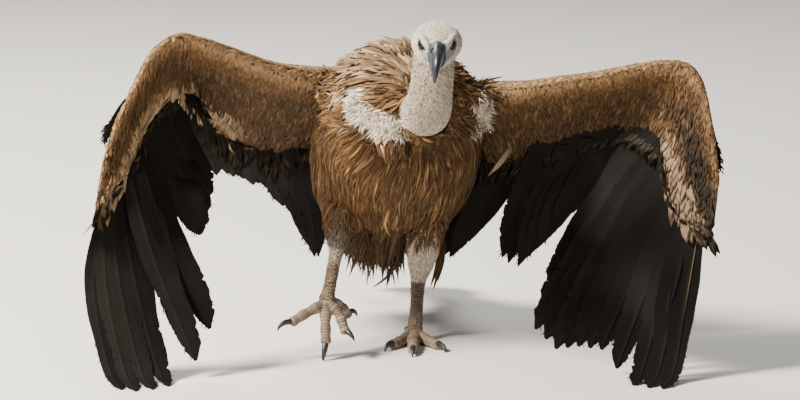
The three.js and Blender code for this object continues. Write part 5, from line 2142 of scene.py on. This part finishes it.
class VULTURE_OT_stage(bpy.types.Operator):
    """Floor, lights and camera"""

    bl_idname = "vulture.stage"
    bl_label = "Stage"

    def execute(self, context):
        settings = context.scene.vulture_stage
        corners = [(FLOOR_REACH * x, FLOOR_REACH * y, 0) for x, y in ((-1, -1), (1, -1), (1, 1), (-1, 1))]
        mesh = bpy.data.meshes.new("floor")
        mesh.from_pydata(corners, [], [(0, 1, 2, 3)])
        floor = linked("floor", mesh)
        floor.data.materials.append(floor_material(settings.floor))
        floor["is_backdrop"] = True
        area_light("key_light", (-3.1, -1.2, 3.3), 1.1, settings.key, (1.0, 0.93, 0.83))
        area_light("fill_light", (3.2, -3.0, 1.6), 3.0, settings.fill, (0.85, 0.92, 1.0))
        area_light("rim_light", (-1.4, 2.8, 2.8), 1.6, settings.rim, (1.0, 0.96, 0.9))
        world = bpy.data.worlds.new("Surroundings")
        world.use_nodes = True
        background = world.node_tree.nodes["Background"]
        background.inputs["Color"].default_value = (*settings.world, 1)
        background.inputs["Strength"].default_value = settings.world_strength
        context.scene.world = world
        camera = bpy.data.cameras.new("camera")
        camera.lens, camera.sensor_width, camera.clip_end = settings.lens, 36, 100
        obj = linked("camera", camera)
        obj.location = Vector(CAMERA_AT / 1000 + SHIFT)
        obj.rotation_euler = (CAMERA_TILT, 0, 0)
        context.scene.camera = obj
        return {"FINISHED"}


class VULTURE_PT_panel(bpy.types.Panel):
    """Builds the vulture piece by piece"""

    bl_label = "Griffon vulture"
    bl_idname = "VULTURE_PT_panel"
    bl_space_type = "VIEW_3D"
    bl_region_type = "UI"
    bl_category = "Vulture"

    def draw(self, context):
        for piece in OPERATORS:
            self.layout.operator(piece.bl_idname)
        for name in GROUPS:
            box, group = self.layout.box(), getattr(context.scene, name)
            for setting in group.__annotations__:
                box.prop(group, setting)


GROUPS = {"vulture_sizes": VultureSizes, "vulture_colours": VultureColours, "vulture_stage": VultureStage}
OPERATORS = (
    VULTURE_OT_skin,
    VULTURE_OT_head_down,
    VULTURE_OT_body_coat,
    VULTURE_OT_wing_coverts,
    VULTURE_OT_leg_coat,
    VULTURE_OT_stray_feathers,
    VULTURE_OT_scales,
    VULTURE_OT_flight_feathers,
    VULTURE_OT_bill,
    VULTURE_OT_eyes,
    VULTURE_OT_claws,
    VULTURE_OT_stage,
)
CLASSES = (*GROUPS.values(), *OPERATORS, VULTURE_PT_panel)


def register():
    for cls in CLASSES:
        bpy.utils.register_class(cls)
    for name, group in GROUPS.items():
        setattr(bpy.types.Scene, name, bpy.props.PointerProperty(type=group))


def unregister():
    for name in GROUPS:
        delattr(bpy.types.Scene, name)
    for cls in reversed(CLASSES):
        bpy.utils.unregister_class(cls)


def main():
    register()
    for piece in OPERATORS:
        family, name = piece.bl_idname.split(".")
        getattr(getattr(bpy.ops, family), name)()
    visual_box = [list(corner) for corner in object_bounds()]


if __name__ == "__main__":
    main()
